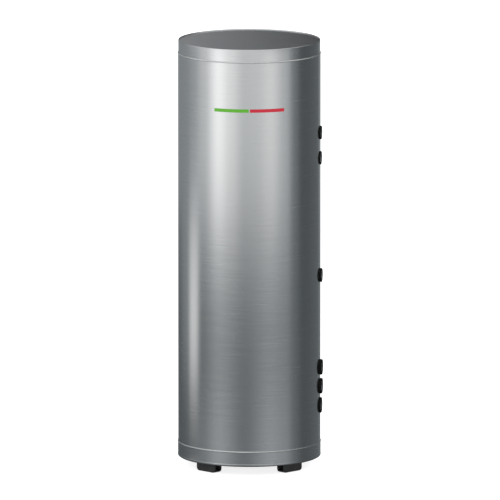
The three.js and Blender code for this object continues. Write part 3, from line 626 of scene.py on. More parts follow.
def make_pan():
    low, top = PAN_LOW.z, PAN_HIGH.z
    plate = low + 6 * MM
    plate_top = plate + 1.2 * MM
    inner = PAN_RADIUS - 1.1 * MM
    hem = PAN_RADIUS - 12 * MM
    wall = PAN_RADIUS - 0.5 * MM
    crest = PAN_RADIUS + 0.4 * MM
    bm = lathe([
        (0, plate, 0), (hem, plate, 1.5 * MM), (hem + MM, low, 2 * MM), (PAN_RADIUS, low, 4.5 * MM),
        (PAN_RADIUS, low + 8 * MM, 0.4 * MM), (wall, low + 9 * MM, 0.4 * MM),
        (wall, top - 5 * MM, 0.4 * MM), (crest, top - BEAD_FOOT, 0.6 * MM), (crest, top - 3 * MM, 1.2 * MM),
        (inner + 0.1 * MM, top, 0.2 * MM), (inner, top, 0), (inner, plate_top, 0), (0, plate_top, 0),
    ])
    paint_bead_highlight(make_piece("base_pan_sheet", bm, TANK, "casing_steel", "base_pan"), top)


# ---------------------------------------------------------------- feet

def make_foot(place):
    """A moulded block with soft edges, a hollow in each end and a recess for the bolt underneath."""
    bolt = middle(f"foot_bolt_{place}")
    angle = math.atan2(bolt.y, bolt.x)
    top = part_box(f"foot_{place}")[1].z
    half_depth, half_width, corner = 20 * MM, 47.5 * MM, 6 * MM
    end_round = 13 * MM
    sections = [(height * MM, inset * MM) for height, inset in ((0, 4), (0.5, 2.4), (1.3, 1.2), (2.6, 0.4))]
    sections += [(height, 0) for height in (4.5 * MM, 6.5 * MM, 9 * MM, end_round, top - 1.5 * MM)]
    sections += [(top - 0.4 * MM, 0.4 * MM), (top, 1.5 * MM)]
    loops = []
    for z, inset in sections:
        below = max(0.0, end_round - z)
        drawn_in = max(inset, end_round - math.sqrt(end_round**2 - below**2))
        outline = rounded_loop(half_depth - inset, half_width - drawn_in, max(corner - inset, MM))
        loops.append([(x, y, z) for x, y in outline])
    upright = Matrix.Identity(4)
    cutters = [round_cutter(11 * MM, -MM, 12.6 * MM, upright), round_cutter(4.5 * MM, -MM, top + MM, upright)]
    for side in (-1, 1):
        rows = []
        for y, grow in ((23.5 * MM, -MM), (48.5 * MM, 0.3 * MM)):
            outline = rounded_loop(14.5 * MM + grow, 13.5 * MM + grow, 4 * MM)
            rows.append([(x, side * y, 20.5 * MM + z) for x, z in outline])
        cutters.append(to_mesh("hollow", bridged(rows)))
    mesh = cut_mesh(to_mesh("foot", bridged(loops)), cutters)
    finish_edges(mesh, 0.5 * MM)
    matrix = Matrix.Translation((bolt.x, bolt.y, 0)) @ Matrix.Rotation(angle, 4, "Z")
    make_piece(f"foot_{place}_block", mesh, TANK, "foot_plastic", f"foot_{place}", place=matrix)


def make_foot_bolt(place):
    """A hexagon head bolt with a threaded shank."""
    node = f"foot_bolt_{place}"
    low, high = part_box(node)
    centre = middle(node)
    head = hex_head(7.4 * MM, low.z, low.z + 5.3 * MM, 1)
    shank = threaded(4 * MM, low.z + 5 * MM, high.z, 1.25 * MM, 0.6 * MM)
    matrix = Matrix.Translation((centre.x, centre.y, 0))
    make_piece(f"{node}_m8", merged(head, shank), TANK, "zinc_plated_steel", node, place=matrix, sharp=25)


# ---------------------------------------------------------------- ports

def make_ring(name, angle):
    """A trim ring whose flange sinks slightly into the casing's curve. Returns the radius of its face."""
    low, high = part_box(f"{name}_ring")
    socket_low, socket_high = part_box(f"{name}_socket")
    outer = (high.z - low.z) / 2
    inner = (socket_high.z - socket_low.z) / 2 + 0.6 * MM
    if name == "anode":
        face = high.y
    else:
        face = (high.x - outer * abs(math.sin(PORT_ANGLE))) / math.cos(PORT_ANGLE) + 0.2 * MM
    sag = CASING_RADIUS - math.sqrt(CASING_RADIUS**2 - outer**2)
    back = CASING_RADIUS - sag - 0.6 * MM
    step = face - 0.9 * MM
    bm = lathe([
        (inner, back, 0), (outer, back, 0), (outer, face, 0.7 * MM), (inner + 2.2 * MM, face, 0.5 * MM),
        (inner + 1.6 * MM, step, 0.3 * MM), (inner, step, 0.5 * MM),
    ], 96)
    place = outward_station(angle, f"{name}_ring")
    make_piece(f"{name}_trim", bm, TANK, "trim_plastic", f"{name}_ring", place=place)
    return face


def make_socket(name, angle, face, bore, slot):
    """A socket with a cut thread in the first stretch of its bore."""
    low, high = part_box(f"{name}_socket")
    outer = (high.z - low.z) / 2
    end = face - 1.2 * MM
    inner_end = 205 * MM
    chamfer = 0.8 * MM
    pitch, depth = 1.8 * MM, 1.1 * MM
    thread_length = 18 * MM
    steps_round, per_pitch = 48, 6
    mouth = bore + depth + 0.3 * MM
    profile = ((inner_end, outer), (end - chamfer, outer), (end, outer - chamfer), (end, mouth))
    rows = [round_row(steps_round, z, radius) for z, radius in profile]
    steps = round(thread_length / pitch * per_pitch)

    def grooved(turn):
        return bore + crest * abs(2 * ((phase + turn) % 1.0) - 1)

    for step in range(steps + 1):
        z = end - chamfer - thread_length * step / steps
        phase = step / per_pitch
        crest = min(1.0, (steps - step) / per_pitch) * depth
        rows.append(round_row(steps_round, z, grooved))
    rows.append(round_row(steps_round, inner_end, bore))
    rows.append(rows[0])
    place = outward_station(angle, f"{name}_socket")
    bm = bridged(rows, False, False)
    make_piece(f"{name}_boss", bm, TANK, slot, f"{name}_socket", place=place, sharp=20)


# ---------------------------------------------------------------- rear fittings

def curved_patch(half_width, half_height, thickness, corner, dome=0.0):
    """A plate with round corners that lies on the casing round X, centred on height 0."""
    across = 24  # the fewest steps across its width
    loops = []
    for inset, lift in ((0.0, -0.3 * MM), (0.0, 0.6 * thickness), (0.25 * thickness, thickness)):
        outline = rounded_loop(half_width - inset, half_height - inset, corner - inset, 6)
        dense = []
        for (y0, z0), (y1, z1) in zip(outline, outline[1:] + outline[:1]):
            count = max(1, math.ceil(abs(y1 - y0) / (2 * half_width / across)))
            for step in range(count):
                part = step / count
                dense.append((y0 + (y1 - y0) * part, z0 + (z1 - z0) * part))
        loops.append([(CASING_RADIUS + lift, y, z) for y, z in dense])
    count = min(len(loop) for loop in loops)
    bm = bridged([loop[:count] for loop in loops], True, False)
    rim = list(bm.verts)[-count:]
    crown_radius = CASING_RADIUS + thickness + dome
    crown = [bm.verts.new((crown_radius, y * 0.9, z * 0.8)) for _, y, z in loops[-1][:count]]
    for i in range(count):
        j = (i + 1) % count
        bm.faces.new((rim[i], rim[j], crown[j], crown[i]))
    bmesh.ops.triangulate(bm, faces=[bm.faces.new(crown)])
    return bent_round(bm)


def make_rating_plate():
    """A blank metal plate with a framed field, held by four rivets."""
    centre = middle("rating_plate")
    place = station(math.atan2(centre.y, centre.x), centre.z)
    slot = "zinc_plated_steel"
    plate = curved_patch(50 * MM, 35 * MM, 0.7 * MM, 3 * MM)
    make_piece("rating_plate_sheet", plate, TANK, "plate_metal", "rating_plate", place)
    field = curved_patch(41 * MM, 27 * MM, 0.3 * MM, 2 * MM)
    for vertex in field.verts:
        vertex.co += Vector((vertex.co.x, vertex.co.y, 0)).normalized() * 0.65 * MM
    make_piece("rating_plate_field", field, TANK, "plate_field", None, place)
    rivets = bmesh.new()
    face = CASING_RADIUS + 0.6 * MM
    for y in (-45.5 * MM, 45.5 * MM):
        for z in (-30.5 * MM, 30.5 * MM):
            rivet = turned(face, 24, (0, -1, 0), (2.2, -1, 0), (2.2, 0.9, 1), (0, 1.1, 0))
            merged(rivets, shifted(rivet, station(y / CASING_RADIUS, z) @ TO_OUTWARDS))
    make_piece("rating_plate_rivets", rivets, TANK, slot, place=place)


def make_seam():
    """The upright lock seam that closes the casing, at the rear on the side away from the ports."""
    low = PAN_HIGH.z + MM
    high = WRAP_HIGH.z - 6 * MM
    half = 5 * MM
    rise = 0.55 * MM
    sunk = -0.2 * MM
    section = (
        (-half - 2.5 * MM, sunk), (-half - 1.2 * MM, 0.06 * MM), (-half, 0.45 * rise),
        (-half + 1.5 * MM, rise), (half - 0.6 * MM, rise), (half, 0.7 * rise), (half + 0.25 * MM, sunk),
    )
    bm = bridged([[(CASING_RADIUS + lift, y, z) for y, lift in section] for z in (low, high)])
    place = station(SEAM_ANGLE)
    make_piece("casing_lock_seam", bent_round(bm), TANK, "casing_steel", place=place, sharp=50)


def make_anode_plug():
    """A brass plug: a washer face, a hexagon head and its thread."""
    low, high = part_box("anode_plug")
    thread = (13.2 * MM, 1.8 * MM, 0.9 * MM, 48)
    bm = hex_plug(19.5 * MM, 18.6 * MM, high.y - 7 * MM, low.y, high.y, thread)
    place = outward_station(REAR_ANGLE, "anode_plug")
    make_piece("anode_plug_hex", bm, "anode", "socket_brass", "anode_plug", place=place, sharp=25)


def make_anode_rod():
    """A rod cast round a steel wire: a slightly uneven surface, and the wire's end bare at the tip."""
    low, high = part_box("anode_rod")
    radius = high.x
    tip = low.y + 5 * MM
    start = tip + 2 * MM
    count = 96
    steps = 48
    end = (
        (low.y, 1.4 * MM), (low.y + 0.5 * MM, 2 * MM), (tip, 2 * MM), (tip, 8.6 * MM),
        (tip + 0.8 * MM, 10.2 * MM),
    )

    def cast(turn):
        """The radius at a turn: uneven by noise, with a mould seam on both sides."""
        angle = 2 * math.pi * turn
        place = Vector((math.cos(angle) * 1.2, math.sin(angle) * 1.2, z / (14 * MM)))
        seam = math.exp(-((abs(math.sin(angle)) / 0.09) ** 2))
        return radius - 0.25 * MM + 0.22 * MM * noise.noise(place) + 0.3 * MM * seam

    rows = [round_row(steps, z, r) for z, r in end]
    for step in range(count + 1):
        z = start + (high.y - start) * step / count
        rows.append(round_row(steps, z, cast))
    place = outward_station(REAR_ANGLE, "anode_rod")
    make_piece("anode_rod_cast", bridged(rows), "anode", "anode_metal", "anode_rod", place=place)


def make_foam_plug():
    """A push-in cap over the hole that the foam was poured through."""
    stem, stem_end = 9.6 * MM, 245 * MM
    back = CASING_RADIUS - 0.6 * MM
    face = CASING_RADIUS + 3 * MM
    dish = face - 0.8 * MM
    bm = lathe([
        (0, stem_end, 0), (stem, stem_end, 0), (stem, back, 0), (14 * MM, back, 0),
        (14 * MM, face - 0.9 * MM, 0.7 * MM), (11 * MM, face, 1.5 * MM), (7 * MM, face, 0.6 * MM),
        (6.2 * MM, dish, 0.5 * MM), (0, dish, 0),
    ], 64)
    place = outward_station(FOAM_PLUG_ANGLE, "foam_plug")
    make_piece("foam_plug_cap", bm, TANK, "trim_plastic", "foam_plug", place=place)


def make_earth_stud():
    """The earthing screw with a toothed washer under its head."""
    seat = PAN_RADIUS + 0.3 * MM
    head = hex_head(5.8 * MM, seat + MM, seat + 4.5 * MM, -1)
    teeth_steps = 48
    rows = []
    for lift, inset in ((0, 0.3 * MM), (0.3 * MM, 0), (1.1 * MM, 0)):
        crest = 5.7 * MM - inset
        radii = [crest - (0.7 * MM if step % 4 > 1 else 0) for step in range(teeth_steps)]
        rows.append(round_row(teeth_steps, seat + lift, lambda turn: radii[round(turn * teeth_steps)]))
    shank = threaded(3 * MM, 244 * MM, seat + 0.5 * MM, MM, 0.5 * MM, 24)
    bm = merged(head, bridged(rows), shank)
    place = outward_station(EARTH_STUD_ANGLE, "earth_stud")
    make_piece("earth_stud_screw", bm, TANK, "socket_brass", "earth_stud", place=place, sharp=25)


def make_badge():
    """A plain two-tone stripe on the front."""
    for side, material in (("left", "green_enamel"), ("right", "red_enamel")):
        node = f"badge_stripe_{side}"
        low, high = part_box(node)
        start = math.asin(low.x / CASING_RADIUS)
        finish = math.asin(high.x / CASING_RADIUS)
        half_width = (finish - start) / 2 * CASING_RADIUS
        bm = curved_patch(half_width, (high.z - low.z) / 2, 0.6 * MM, 1.5 * MM, 0.2 * MM)
        place = station((start + finish) / 2 - math.pi / 2, middle(node).z)
        make_piece(f"{node}_enamel", bm, TANK, material, node, place=place)


# ---------------------------------------------------------------- electric booster

COVER_LOW, COVER_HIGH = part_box("booster_cover")
BOOSTER_Z = (COVER_LOW.z + COVER_HIGH.z) / 2
COVER_FACE = COVER_HIGH.y
COVER_FIELD = COVER_FACE - 0.7 * MM
DIAL_CENTRE = middle("thermostat_dial")
BUTTON_CENTRE = middle("reset_button")
SCREWS = ("cover_screw_lower", "cover_screw_upper")
REAR = Matrix.Rotation(REAR_ANGLE, 4, "Z")


def at_rear(x=0.0, z=0.0):
    """The matrix that turns outwards along X to the rear, at an X and a height of the frame."""
    return Matrix.Translation((x, 0, z)) @ REAR


AT_DIAL = at_rear(DIAL_CENTRE.x, DIAL_CENTRE.z)


def make_cover():
    """The booster's cover: a rounded lid whose rear edge follows the casing, with a sunk field."""
    half_width = (COVER_HIGH.x - COVER_LOW.x) / 2
    half_height = (COVER_HIGH.z - COVER_LOW.z) / 2
    face, wall, corner = COVER_FACE, 2.5 * MM, 16 * MM
    radius = 4 * MM
    rear, behind, ahead = 0.23, 0.24, face + MM
    sections = [(rear, 0)]
    for step in range(7):
        angle = math.pi / 2 * step / 6
        sections.append((face - radius + radius * math.sin(angle), radius * (1 - math.cos(angle))))
    shell = to_mesh("booster_cover", block(half_width, half_height, corner, sections, 12))
    inner = ((CUT_FROM, wall), (face - wall - 2 * MM, wall), (face - wall, wall + 2 * MM))
    field = ((COVER_FIELD, 13 * MM), (ahead, 11.3 * MM))
    core, reach = CASING_RADIUS + 0.3 * MM, 0.2
    cutters = [
        turned_cutter(rod(core, -reach, reach), Matrix.Identity(4), ROUND),
        to_mesh("inner", block(half_width, half_height, corner, inner)),
        to_mesh("field", block(half_width, half_height, corner, field)),
    ]

    def drill(centre, steps, hole, *rest):
        outline = [(r, x, 0) for r, x in ((0, behind), (hole, behind), *rest, (0, ahead))]
        cutters.append(turned_cutter(outline, outward_at(-centre.x, centre.z - BOOSTER_Z), steps))

    for centre, hole, flare in ((DIAL_CENTRE, 22 * MM, 1.2 * MM), (BUTTON_CENTRE, 4.8 * MM, 0.5 * MM)):
        drill(centre, 64, hole, (hole, COVER_FIELD - flare), (hole + 2 * flare, COVER_FIELD + flare))
    hole = 2.4 * MM
    sink = ((hole, face - 2.6 * MM), (4.7 * MM, face - 0.2 * MM), (4.9 * MM, ahead))
    for screw in SCREWS:
        drill(Vector((0, 0, middle(screw).z)), 32, hole, *sink)
    gland, hole = middle("cable_gland"), 5.5 * MM
    low, high = -half_height - 5 * MM, -half_height + 4 * MM
    place = Matrix.Translation((gland.y, -gland.x, 0))
    cutters.append(turned_cutter(rod(hole, low, high), place, 32))
    mesh = cut_mesh(shell, cutters)
    smoothed(mesh, 30)
    body = "booster_cover"
    make_piece("booster_cover_shell", mesh, body, "cover_plastic", body, place=at_rear(0, BOOSTER_Z))


def make_dial_scale():
    """Raised tick marks round the dial's window, longer at every third step, but short at the button."""
    button_step, button_length = 15, 1.8 * MM
    bm = bmesh.new()
    for step in range(19):
        main = step % 3 == 0
        length = 5 * MM if main else 3 * MM
        if step == button_step:
            length = button_length
        half = 0.55 * MM if main else 0.35 * MM
        corner = half * 0.6
        sections = ((-0.3 * MM, 0), (0.25 * MM, 0), (0.4 * MM, 0.15 * MM))
        tick = block(half, length / 2, corner, sections, 3, corner, 25.2 * MM + length / 2)
        merged(bm, shifted(tick, Matrix.Rotation(math.radians(-135 + 15 * step), 4, "X")))
    place = AT_DIAL @ Matrix.Translation((COVER_FIELD, 0, 0))
    make_piece("booster_cover_scale", bm, "booster_cover", "print_white", None, place)


def fluted_rows(steps, flutes, unit, base, profile):
    """Round rows from (height above the base, radius, depth of the flutes)."""
    rows = []

    def fluted(turn):
        return (radius - depth * (0.5 - 0.5 * math.cos(flutes * 2 * math.pi * turn))) * unit

    for height, radius, depth in profile:
        rows.append(round_row(steps, base + height * unit, fluted))
    return rows


def make_dial():
    """A knob with a knurled skirt, a grip bar and a pointer line."""
    body = "thermostat_dial"
    low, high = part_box(body)
    face = high.y
    back = 252 * MM
    profile = (
        (0, 17.6, 0), (0.4, 18.6, 0), (2, 19, 0), (3.2, 19, 0), (3.8, 18.9, 0.6), (10.6, 18.6, 0.6),
        (11.6, 18.1, 0.4), (12.4, 17.2, 0), (12.9, 15.6, 0), (13, 14, 0), (13, 8, 0), (13, 2, 0),
    )
    knob = bridged(fluted_rows(144, 36, MM, back, profile))
    sections = (
        (back + 12 * MM, -0.8 * MM), (back + 13.4 * MM, 0), (face - 1.5 * MM, 0.2 * MM),
        (face - 0.4 * MM, 0.7 * MM),
        (face, 1.6 * MM),
    )
    bar = block(3 * MM, 17 * MM, 2.8 * MM, sections)
    radius, top = 3 * MM, back + MM
    stem = lathe(rod(radius, low.y, top, 0.3 * MM), 32)
    knob = merged(shifted(knob, TO_OUTWARDS), bar, shifted(stem, TO_OUTWARDS))
    make_piece("thermostat_dial_knob", knob, body, "dial_plastic", body, place=AT_DIAL)
    sections = ((face - 0.5 * MM, 0), (face + 0.1 * MM, 0), (face + 0.2 * MM, 0.15 * MM))
    line = block(0.55 * MM, 4.2 * MM, 0.35 * MM, sections, 3, 0.35 * MM, 10.4 * MM)
    make_piece("thermostat_dial_pointer", line, body, "print_white", None, AT_DIAL)


def make_button():
    body = "reset_button"
    low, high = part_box(body)
    outline = [
        (0, low.y, 0), (4 * MM, low.y, 0.3 * MM), (4 * MM, high.y, 0.8 * MM), (2.6 * MM, high.y, 0.4 * MM),
        (0, high.y - 0.5 * MM, 0),
    ]
    place = at_rear(BUTTON_CENTRE.x, BUTTON_CENTRE.z) @ TO_OUTWARDS
    make_piece("reset_button_cap", lathe(outline, 48), body, "button_plastic", body, place=place)


def make_cover_screw(name):
    """A countersunk screw with a cross recess."""
    low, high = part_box(name)
    top = high.y
    cone = ((0, -3, 0), (1.9, -3, 0), (1.9, -2.4, 0), (4.1, -0.3, 0), (4.1, -0.1, 0), (0, 0, 0))
    arms = []
    for swapped in (False, True):
        rows = []
        for z, half, length in ((top - 1.9 * MM, 0.25 * MM, 0.8 * MM), (top + 0.5 * MM, 0.5 * MM, 2.3 * MM)):
            outline = [(length, half), (-length, half), (-length, -half), (length, -half)]
            rows.append([(y, x, z) if swapped else (x, y, z) for x, y in outline])
        arms.append(bridged(rows))
    shank = threaded(1.9 * MM, low.y, top - 2.2 * MM, 0.8 * MM, 0.4 * MM, 24)
    bm = merged(cut_bmesh(turned(top, 48, *cone), *arms), shank)
    place = at_rear(0, middle(name).z) @ TO_OUTWARDS
    make_piece(f"{name}_cross", bm, "booster_cover", "zinc_plated_steel", name, place=place, sharp=30)


def slotted_screw(radius, low, high):
    """A cheese-head screw along X with a slot across its face."""
    head = lathe(rod(radius, low, high, 0, 0.4 * MM), 40)
    half, reach = 0.45 * MM, radius * 1.3
    rows = []
    for z in (high - 0.8 * MM, high + MM):
        rows.append([(reach, half, z), (-reach, half, z), (-reach, -half, z), (reach, -half, z)])
    return cut_bmesh(head, bridged(rows))


def make_thermostat():
    """The thermostat's moulded body: a flange, a stepped housing, two collars and four terminals."""
    low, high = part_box("thermostat_body")
    face, back = high.y, low.y
    flange = back + 6 * MM
    sections = (
        (back, 0.6 * MM), (back + 0.6 * MM, 0), (back + 5.4 * MM, 0), (flange, 0.6 * MM), (flange, 2 * MM),
        (flange + 0.5 * MM, 2.4 * MM), (face - MM, 2.8 * MM), (face - 0.3 * MM, 3.1 * MM),
        (face, 3.8 * MM),
    )
    body = block(high.x, (high.z - low.z) / 2, 4 * MM, sections)
    shaft = turned(
        face, 64, (3.4, -1, 0), (8, -1, 0), (8, 0.8, 0.3), (6, 0.8, 0.3), (5.4, 3, 0.4), (3.4, 3, 0.3)
    )
    guide = turned(face, 64, (4.5, -1, 0), (7, -1, 0), (6.4, 4, 0.5), (4.5, 4, 0.4))
    at_guide = outward_at(-BUTTON_CENTRE.x, BUTTON_CENTRE.z - DIAL_CENTRE.z)
    parts = [shifted(shaft, TO_OUTWARDS), shifted(guide, at_guide)]
    screws = []
    for y in (26 * MM, 35 * MM):
        for z in (-15 * MM, 15 * MM):
            rim = turned(face, 40, (3.3, -1, 0), (4.1, -1, 0), (4.1, 1.2, 0.3), (3.3, 1.2, 0.3))
            parts.append(shifted(rim, outward_at(y, z)))
            screw = slotted_screw(2.9 * MM, face - MM, face + 0.7 * MM)
            screws.append(shifted(screw, outward_at(y, z)))
    place = at_rear(0, DIAL_CENTRE.z)
    housing = merged(body, *parts)
    make_piece("thermostat_body_housing", housing, TANK, "thermostat_black", "thermostat_body", place)
    make_piece("thermostat_terminals", merged(*screws), TANK, "zinc_plated_steel", place=place)


def make_heater_head():
    """The heater's hexagon, its gasket, and the two terminals where its element's legs come through."""
    low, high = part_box("heater_head")
    gasket_low, gasket_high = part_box("heater_gasket")
    place = at_rear(0, middle("heater_head").z)
    outwards = place @ TO_OUTWARDS
    radius = (high.z - low.z) / 2
    thread = (21 * MM, 2.3 * MM, 1.1 * MM, 64)
    head = hex_plug(radius, radius * 0.85, gasket_high.y + 0.3 * MM, low.y, high.y, thread)
    make_piece("heater_head_hex", head, TANK, "socket_brass", "heater_head", place=outwards, sharp=25)
    outer, inner = gasket_high.x, 21.8 * MM
    back, face = gasket_low.y, gasket_high.y
    inside, outside = 0.4 * MM, 0.6 * MM
    outline = ((inner, back, inside), (outer, back, outside), (outer, face, outside), (inner, face, inside))
    gasket = lathe(outline, 96)
    make_piece("heater_gasket_ring", gasket, TANK, "gasket_rubber", "heater_gasket", place=outwards)
    bushes = []
    pins = []
    face = high.y
    for z in (-13 * MM, 13 * MM):
        bush = turned(
            face, 48, (2.2, -1, 0), (5.6, -1, 0), (5.6, 2.4, 0.6), (4.2, 3, 0.4), (4.2, 6, 0.8), (2.2, 6, 0)
        )
        bushes.append(shifted(bush, outward_at(0, z)))
        stud = threaded(2 * MM, face, face + 15 * MM, 0.8 * MM, 0.3 * MM, 24)
        nut = hex_head(4 * MM, face + 6.1 * MM, face + 9.1 * MM, -1)
        top_nut = hex_head(4 * MM, face + 10 * MM, face + 13 * MM, -1)
        pins.append(shifted(merged(stud, nut, top_nut), outward_at(0, z)))
    make_piece("heater_bushes", merged(*bushes), TANK, "ceramic", None, place)
    make_piece("heater_terminals", merged(*pins), TANK, "zinc_plated_steel", place=place, sharp=25)


def make_pocket():
    """The terminal pocket with its moulded edges rounded."""
    mesh = nodes["terminal_pocket"].data.copy()
    finish_edges(mesh, 0.8 * MM)
    make_piece("terminal_pocket_tub", mesh, TANK, "pocket_plastic", "terminal_pocket")


def make_gland():
    """A cable gland: a ribbed dome nut below a plain collar, with its bore open."""
    low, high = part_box("cable_gland")
    centre = middle("cable_gland")
    seat = COVER_LOW.z - 0.3 * MM
    upper = (
        (0, 7.2 * MM, 0), (-0.3 * MM, 7.5 * MM, 0), (-1.4 * MM, 7.5 * MM, 0),
        (-1.8 * MM, 7.2 * MM, 0.1 * MM), (-2.2 * MM, 7.3 * MM, 0.5 * MM),
    )
    lower = (
        (3.2 * MM, 7.2 * MM, 0.5 * MM), (1.6 * MM, 6.6 * MM, 0.3 * MM), (0.5 * MM, 5.7 * MM, 0),
        (0, 5 * MM, 0), (0.2 * MM, 4 * MM, 0), (0.9 * MM, 3.5 * MM, 0),
    )
    neck = ((0, 3.5 * MM, 0), (0, 4.9 * MM, 0), (-0.4 * MM, 5.2 * MM, 0), (seat - high.z, 5.2 * MM, 0))
    rows = []
    for base, profile in ((high.z, neck), (seat, upper), (low.z, lower)):
        rows += fluted_rows(96, 12, 1, base, profile)
    rows.append(rows[0])
    bm = bridged(rows, False, False)
    place = Matrix.Translation((centre.x, centre.y, 0))
    make_piece("cable_gland_dome", bm, "booster_cover", "trim_plastic", "cable_gland", place=place)


# ---------------------------------------------------------------- stage and light

FLOOR_GLOW = 0.8
SKY_LIGHT = 0.9
GROUND_LIGHT = 0.06
HORIZON = 0.08  # how far up the light takes to reach its full strength
WHITE = (1, 1, 1, 1)
FLOOR_SIZE = 40
TENT_RADIUS = 2.4
TENT_LOW, TENT_HIGH = -1.2, 3.4

# What the steel mirrors: brightness by direction, in degrees from the front towards the ports
TENT_LEVELS = (
    # height at which this ring of brightness holds, and the ring
    (-0.2, ((-180, 0.34), (-150, 0.12), (-118, 0.14), (-97, 0.14), (-79, 0.28), (-48, 0.5), (-8, 0.24),
            (34, 0.5), (58, 0.4), (76, 0.2), (92, 0.12), (140, 0.16), (160, 0.26), (180, 0.34))),
    (0.1, ((-180, 0.38), (-150, 0.13), (-114, 0.3), (-102, 1.15), (-93, 1.15), (-81, 0.14), (-48, 0.19),
           (-8, 0.12), (34, 0.19), (58, 0.22), (76, 0.17), (92, 0.12), (140, 0.16), (160, 0.28),
           (180, 0.38))),
    (0.44, ((-180, 0.46), (-150, 0.18), (-116, 0.34), (-102, 0.95), (-93, 0.95), (-80, 0.3), (-48, 0.44),
            (-8, 0.28), (34, 0.4), (58, 0.36), (76, 0.19), (92, 0.12), (140, 0.16), (160, 0.32),
            (180, 0.46))),
    (0.7, ((-180, 0.6), (-150, 0.3), (-118, 0.36), (-97, 0.46), (-74, 0.8), (-48, 1.62), (-28, 1.2),
           (-8, 0.84), (10, 0.88), (33, 1.1), (58, 0.7), (74, 0.27), (90, 0.12), (140, 0.16), (160, 0.4),
           (180, 0.6))),
)
TENT_TOP_HEIGHTS = (1.62, 1.8)  # above these the tent is seen only in the lid
TENT_CEILING_HEIGHTS = (2.2, 2.5)
TENT_CEILING = 1.1
TENT_BACK_HEIGHTS = (2.36, 2.75)  # above these it is lit behind the lid too, for views from higher up
TENT_HIGH_BACK = 0.42
TENT_TOP_SIDES = (0.26, 0.008)  # its brightness behind the lid, to the left and to the right
TENT_CROWN = 0.85  # and on the other sides, away from the ports
TENT_COOLNESS = (0.11, 0.05)  # red taken out and blue put in where it is dark
TENT_SIDE_SPAN = (-0.3, 0.3)  # where the left side turns into the right, along X
TENT_FRONT_SPAN = (0.4, 1.6)  # where the crown fades towards the ports, along X
TENT_CROWN_SPAN = (0.6, 1.4)  # where the crown turns into the part behind the lid, along Y
TENT_CEILING_SPAN = (0.2, 1.0)  # the same for the ceiling
TENT_STRENGTH = 2.0  # its colours are stored divided by this, so that none is above 1


def grey(level):
    return (level / TENT_STRENGTH,) * 3


def make_stage(name, bm, recipe, hidden_from):
    """A stage object that some kinds of ray don't see."""
    mesh = bpy.data.meshes.new(name)
    bm.to_mesh(mesh)
    bm.free()
    mesh.materials.append(recipe.material)
    item = bpy.data.objects.new(name, mesh)
    bpy.context.scene.collection.objects.link(item)
    for kind in hidden_from:
        setattr(item, f"visible_{kind}", False)


def make_floor():
    bm = bmesh.new()
    bmesh.ops.create_grid(bm, x_segments=8, y_segments=8, size=FLOOR_SIZE)
    glow = {"Emission Color": WHITE, "Emission Strength": FLOOR_GLOW, "Specular IOR Level": 0.0}
    recipe = Recipe("floor", {"Roughness": 0.9, **glow})
    tone = recipe.noise((3, 3, 3), detail=2.0)
    recipe.colour(tone, (0.9, 0.9, 0.9), (0.92, 0.92, 0.92))
    make_stage("floor", bm, recipe, ("glossy",))


def make_tent():
    """A light tent that only the reflections see, so that it never shows in a picture."""
    steps = 96
    bm = bridged([round_row(steps, z, TENT_RADIUS) for z in (TENT_LOW, TENT_HIGH)], False, False)
    recipe = Recipe("light_tent", {})
    parts = recipe.add("ShaderNodeSeparateXYZ", {"Vector": recipe.place}).outputs
    back = recipe.math("MULTIPLY", parts["Y"], -1.0)
    azimuth = recipe.math("ARCTAN2", parts["X"], back)
    turn = recipe.span(azimuth, -math.pi, math.pi, 0.0, 1.0)
    less_red, more_blue = TENT_COOLNESS
    glow = None
    last_height = 0.0
    for height, profile in TENT_LEVELS:
        ramp = recipe.add("ShaderNodeValToRGB", {"Fac": turn})
        ramp.color_ramp.interpolation = "EASE"
        elements = ramp.color_ramp.elements
        while len(elements) < len(profile):
            elements.new(0.5)
        for element, (degrees, level) in zip(elements, profile):
            element.position = (degrees + 180) / 360
            cool = max(0.0, 1 - level)
            red, green, blue = grey(level)
            element.color = (red * (1 - less_red * cool), green, blue * (1 + more_blue * cool), 1)
        colour = ramp.outputs["Color"]
        if glow:
            colour = recipe.blend(recipe.step(parts["Z"], last_height, height), glow, colour)
        glow = colour
        last_height = height
    left, right = TENT_TOP_SIDES
    side = recipe.span(parts["X"], *TENT_SIDE_SPAN, left / TENT_STRENGTH, right / TENT_STRENGTH)
    front = recipe.span(parts["X"], *TENT_FRONT_SPAN, TENT_CROWN / TENT_STRENGTH, right)
    crown = recipe.blend(recipe.step(parts["Y"], *TENT_CROWN_SPAN), front, side)
    back_height = recipe.step(parts["Z"], *TENT_BACK_HEIGHTS)
    high_back = recipe.blend(back_height, crown, grey(TENT_HIGH_BACK))
    high = recipe.blend(recipe.step(parts["Y"], *TENT_CEILING_SPAN), grey(TENT_CEILING), high_back)
    lit = recipe.blend(recipe.step(parts["Z"], *TENT_TOP_HEIGHTS), glow, crown)
    lit = recipe.blend(recipe.step(parts["Z"], *TENT_CEILING_HEIGHTS), lit, high)
    shine = recipe.add("ShaderNodeEmission", {"Color": lit, "Strength": TENT_STRENGTH})
    output = recipe.tree.nodes["Material Output"]
    recipe.tree.links.new(shine.outputs["Emission"], output.inputs["Surface"])
    recipe.material.cycles.emission_sampling = "NONE"
    make_stage("light_tent", bm, recipe, ("camera", "diffuse", "transmission", "volume_scatter", "shadow"))


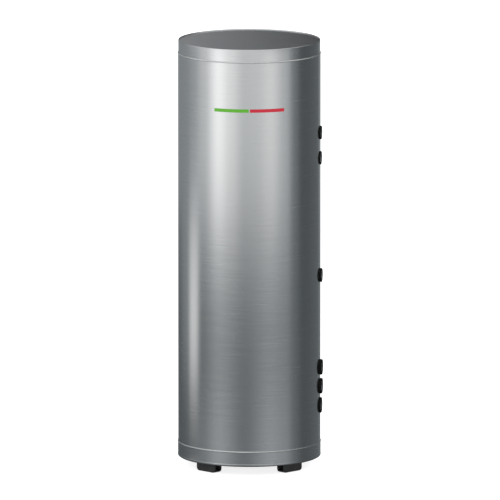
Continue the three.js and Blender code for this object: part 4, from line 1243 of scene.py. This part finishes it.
def make_world():
    """White to the camera. Otherwise it lights from above, and is dark below the floor."""
    world = bpy.data.worlds.new("world")
    world.use_nodes = True
    bpy.context.scene.world = world
    tree = world.node_tree
    background = tree.nodes["Background"]
    ray = tree.nodes.new("ShaderNodeTexCoord")
    parts = tree.nodes.new("ShaderNodeSeparateXYZ")
    sky = tree.nodes.new("ShaderNodeMapRange")
    path = tree.nodes.new("ShaderNodeLightPath")
    seen = tree.nodes.new("ShaderNodeMath")
    seen.operation = "MAXIMUM"
    limits = {"From Min": 0.0, "From Max": HORIZON, "To Min": GROUND_LIGHT, "To Max": SKY_LIGHT}
    for key, value in limits.items():
        sky.inputs[key].default_value = value
    tree.links.new(ray.outputs["Generated"], parts.inputs["Vector"])
    tree.links.new(parts.outputs["Z"], sky.inputs["Value"])
    tree.links.new(sky.outputs["Result"], seen.inputs[0])
    tree.links.new(path.outputs["Is Camera Ray"], seen.inputs[1])
    tree.links.new(seen.outputs["Value"], background.inputs["Strength"])
    background.inputs["Color"].default_value = WHITE
    world.cycles.sampling_method = "NONE"
    bpy.context.scene.view_settings.view_transform = "Standard"


materials = make_materials()
make_camera()
make_floor()
make_tent()
make_world()

slots = {entry["node"]: entry["material_slot"] for entry in frame["record"]["subparts"]}
for node_name, slot_name in slots.items():
    node_materials = nodes[node_name].data.materials
    node_materials.clear()
    node_materials.append(materials[slot_name])

make_casing()
make_lid()
make_pan()
for foot_name in FOOT_NAMES:
    make_foot(foot_name)
    make_foot_bolt(foot_name)
for port_name in PORT_NAMES:
    ring_face = make_ring(port_name, PORT_ANGLE)
    port_bore = SENSOR_BORE if port_name == "sensor" else PORT_BORE
    make_socket(port_name, PORT_ANGLE, ring_face, port_bore, slots[f"{port_name}_socket"])
make_socket("anode", REAR_ANGLE, make_ring("anode", REAR_ANGLE), ANODE_BORE, "socket_brass")
make_anode_plug()
make_anode_rod()
make_foam_plug()
make_earth_stud()
make_rating_plate()
make_seam()
make_pocket()
make_thermostat()
make_heater_head()
make_cover()
make_dial_scale()
make_dial()
make_button()
for screw_name in SCREWS:
    make_cover_screw(screw_name)
make_gland()
make_badge()
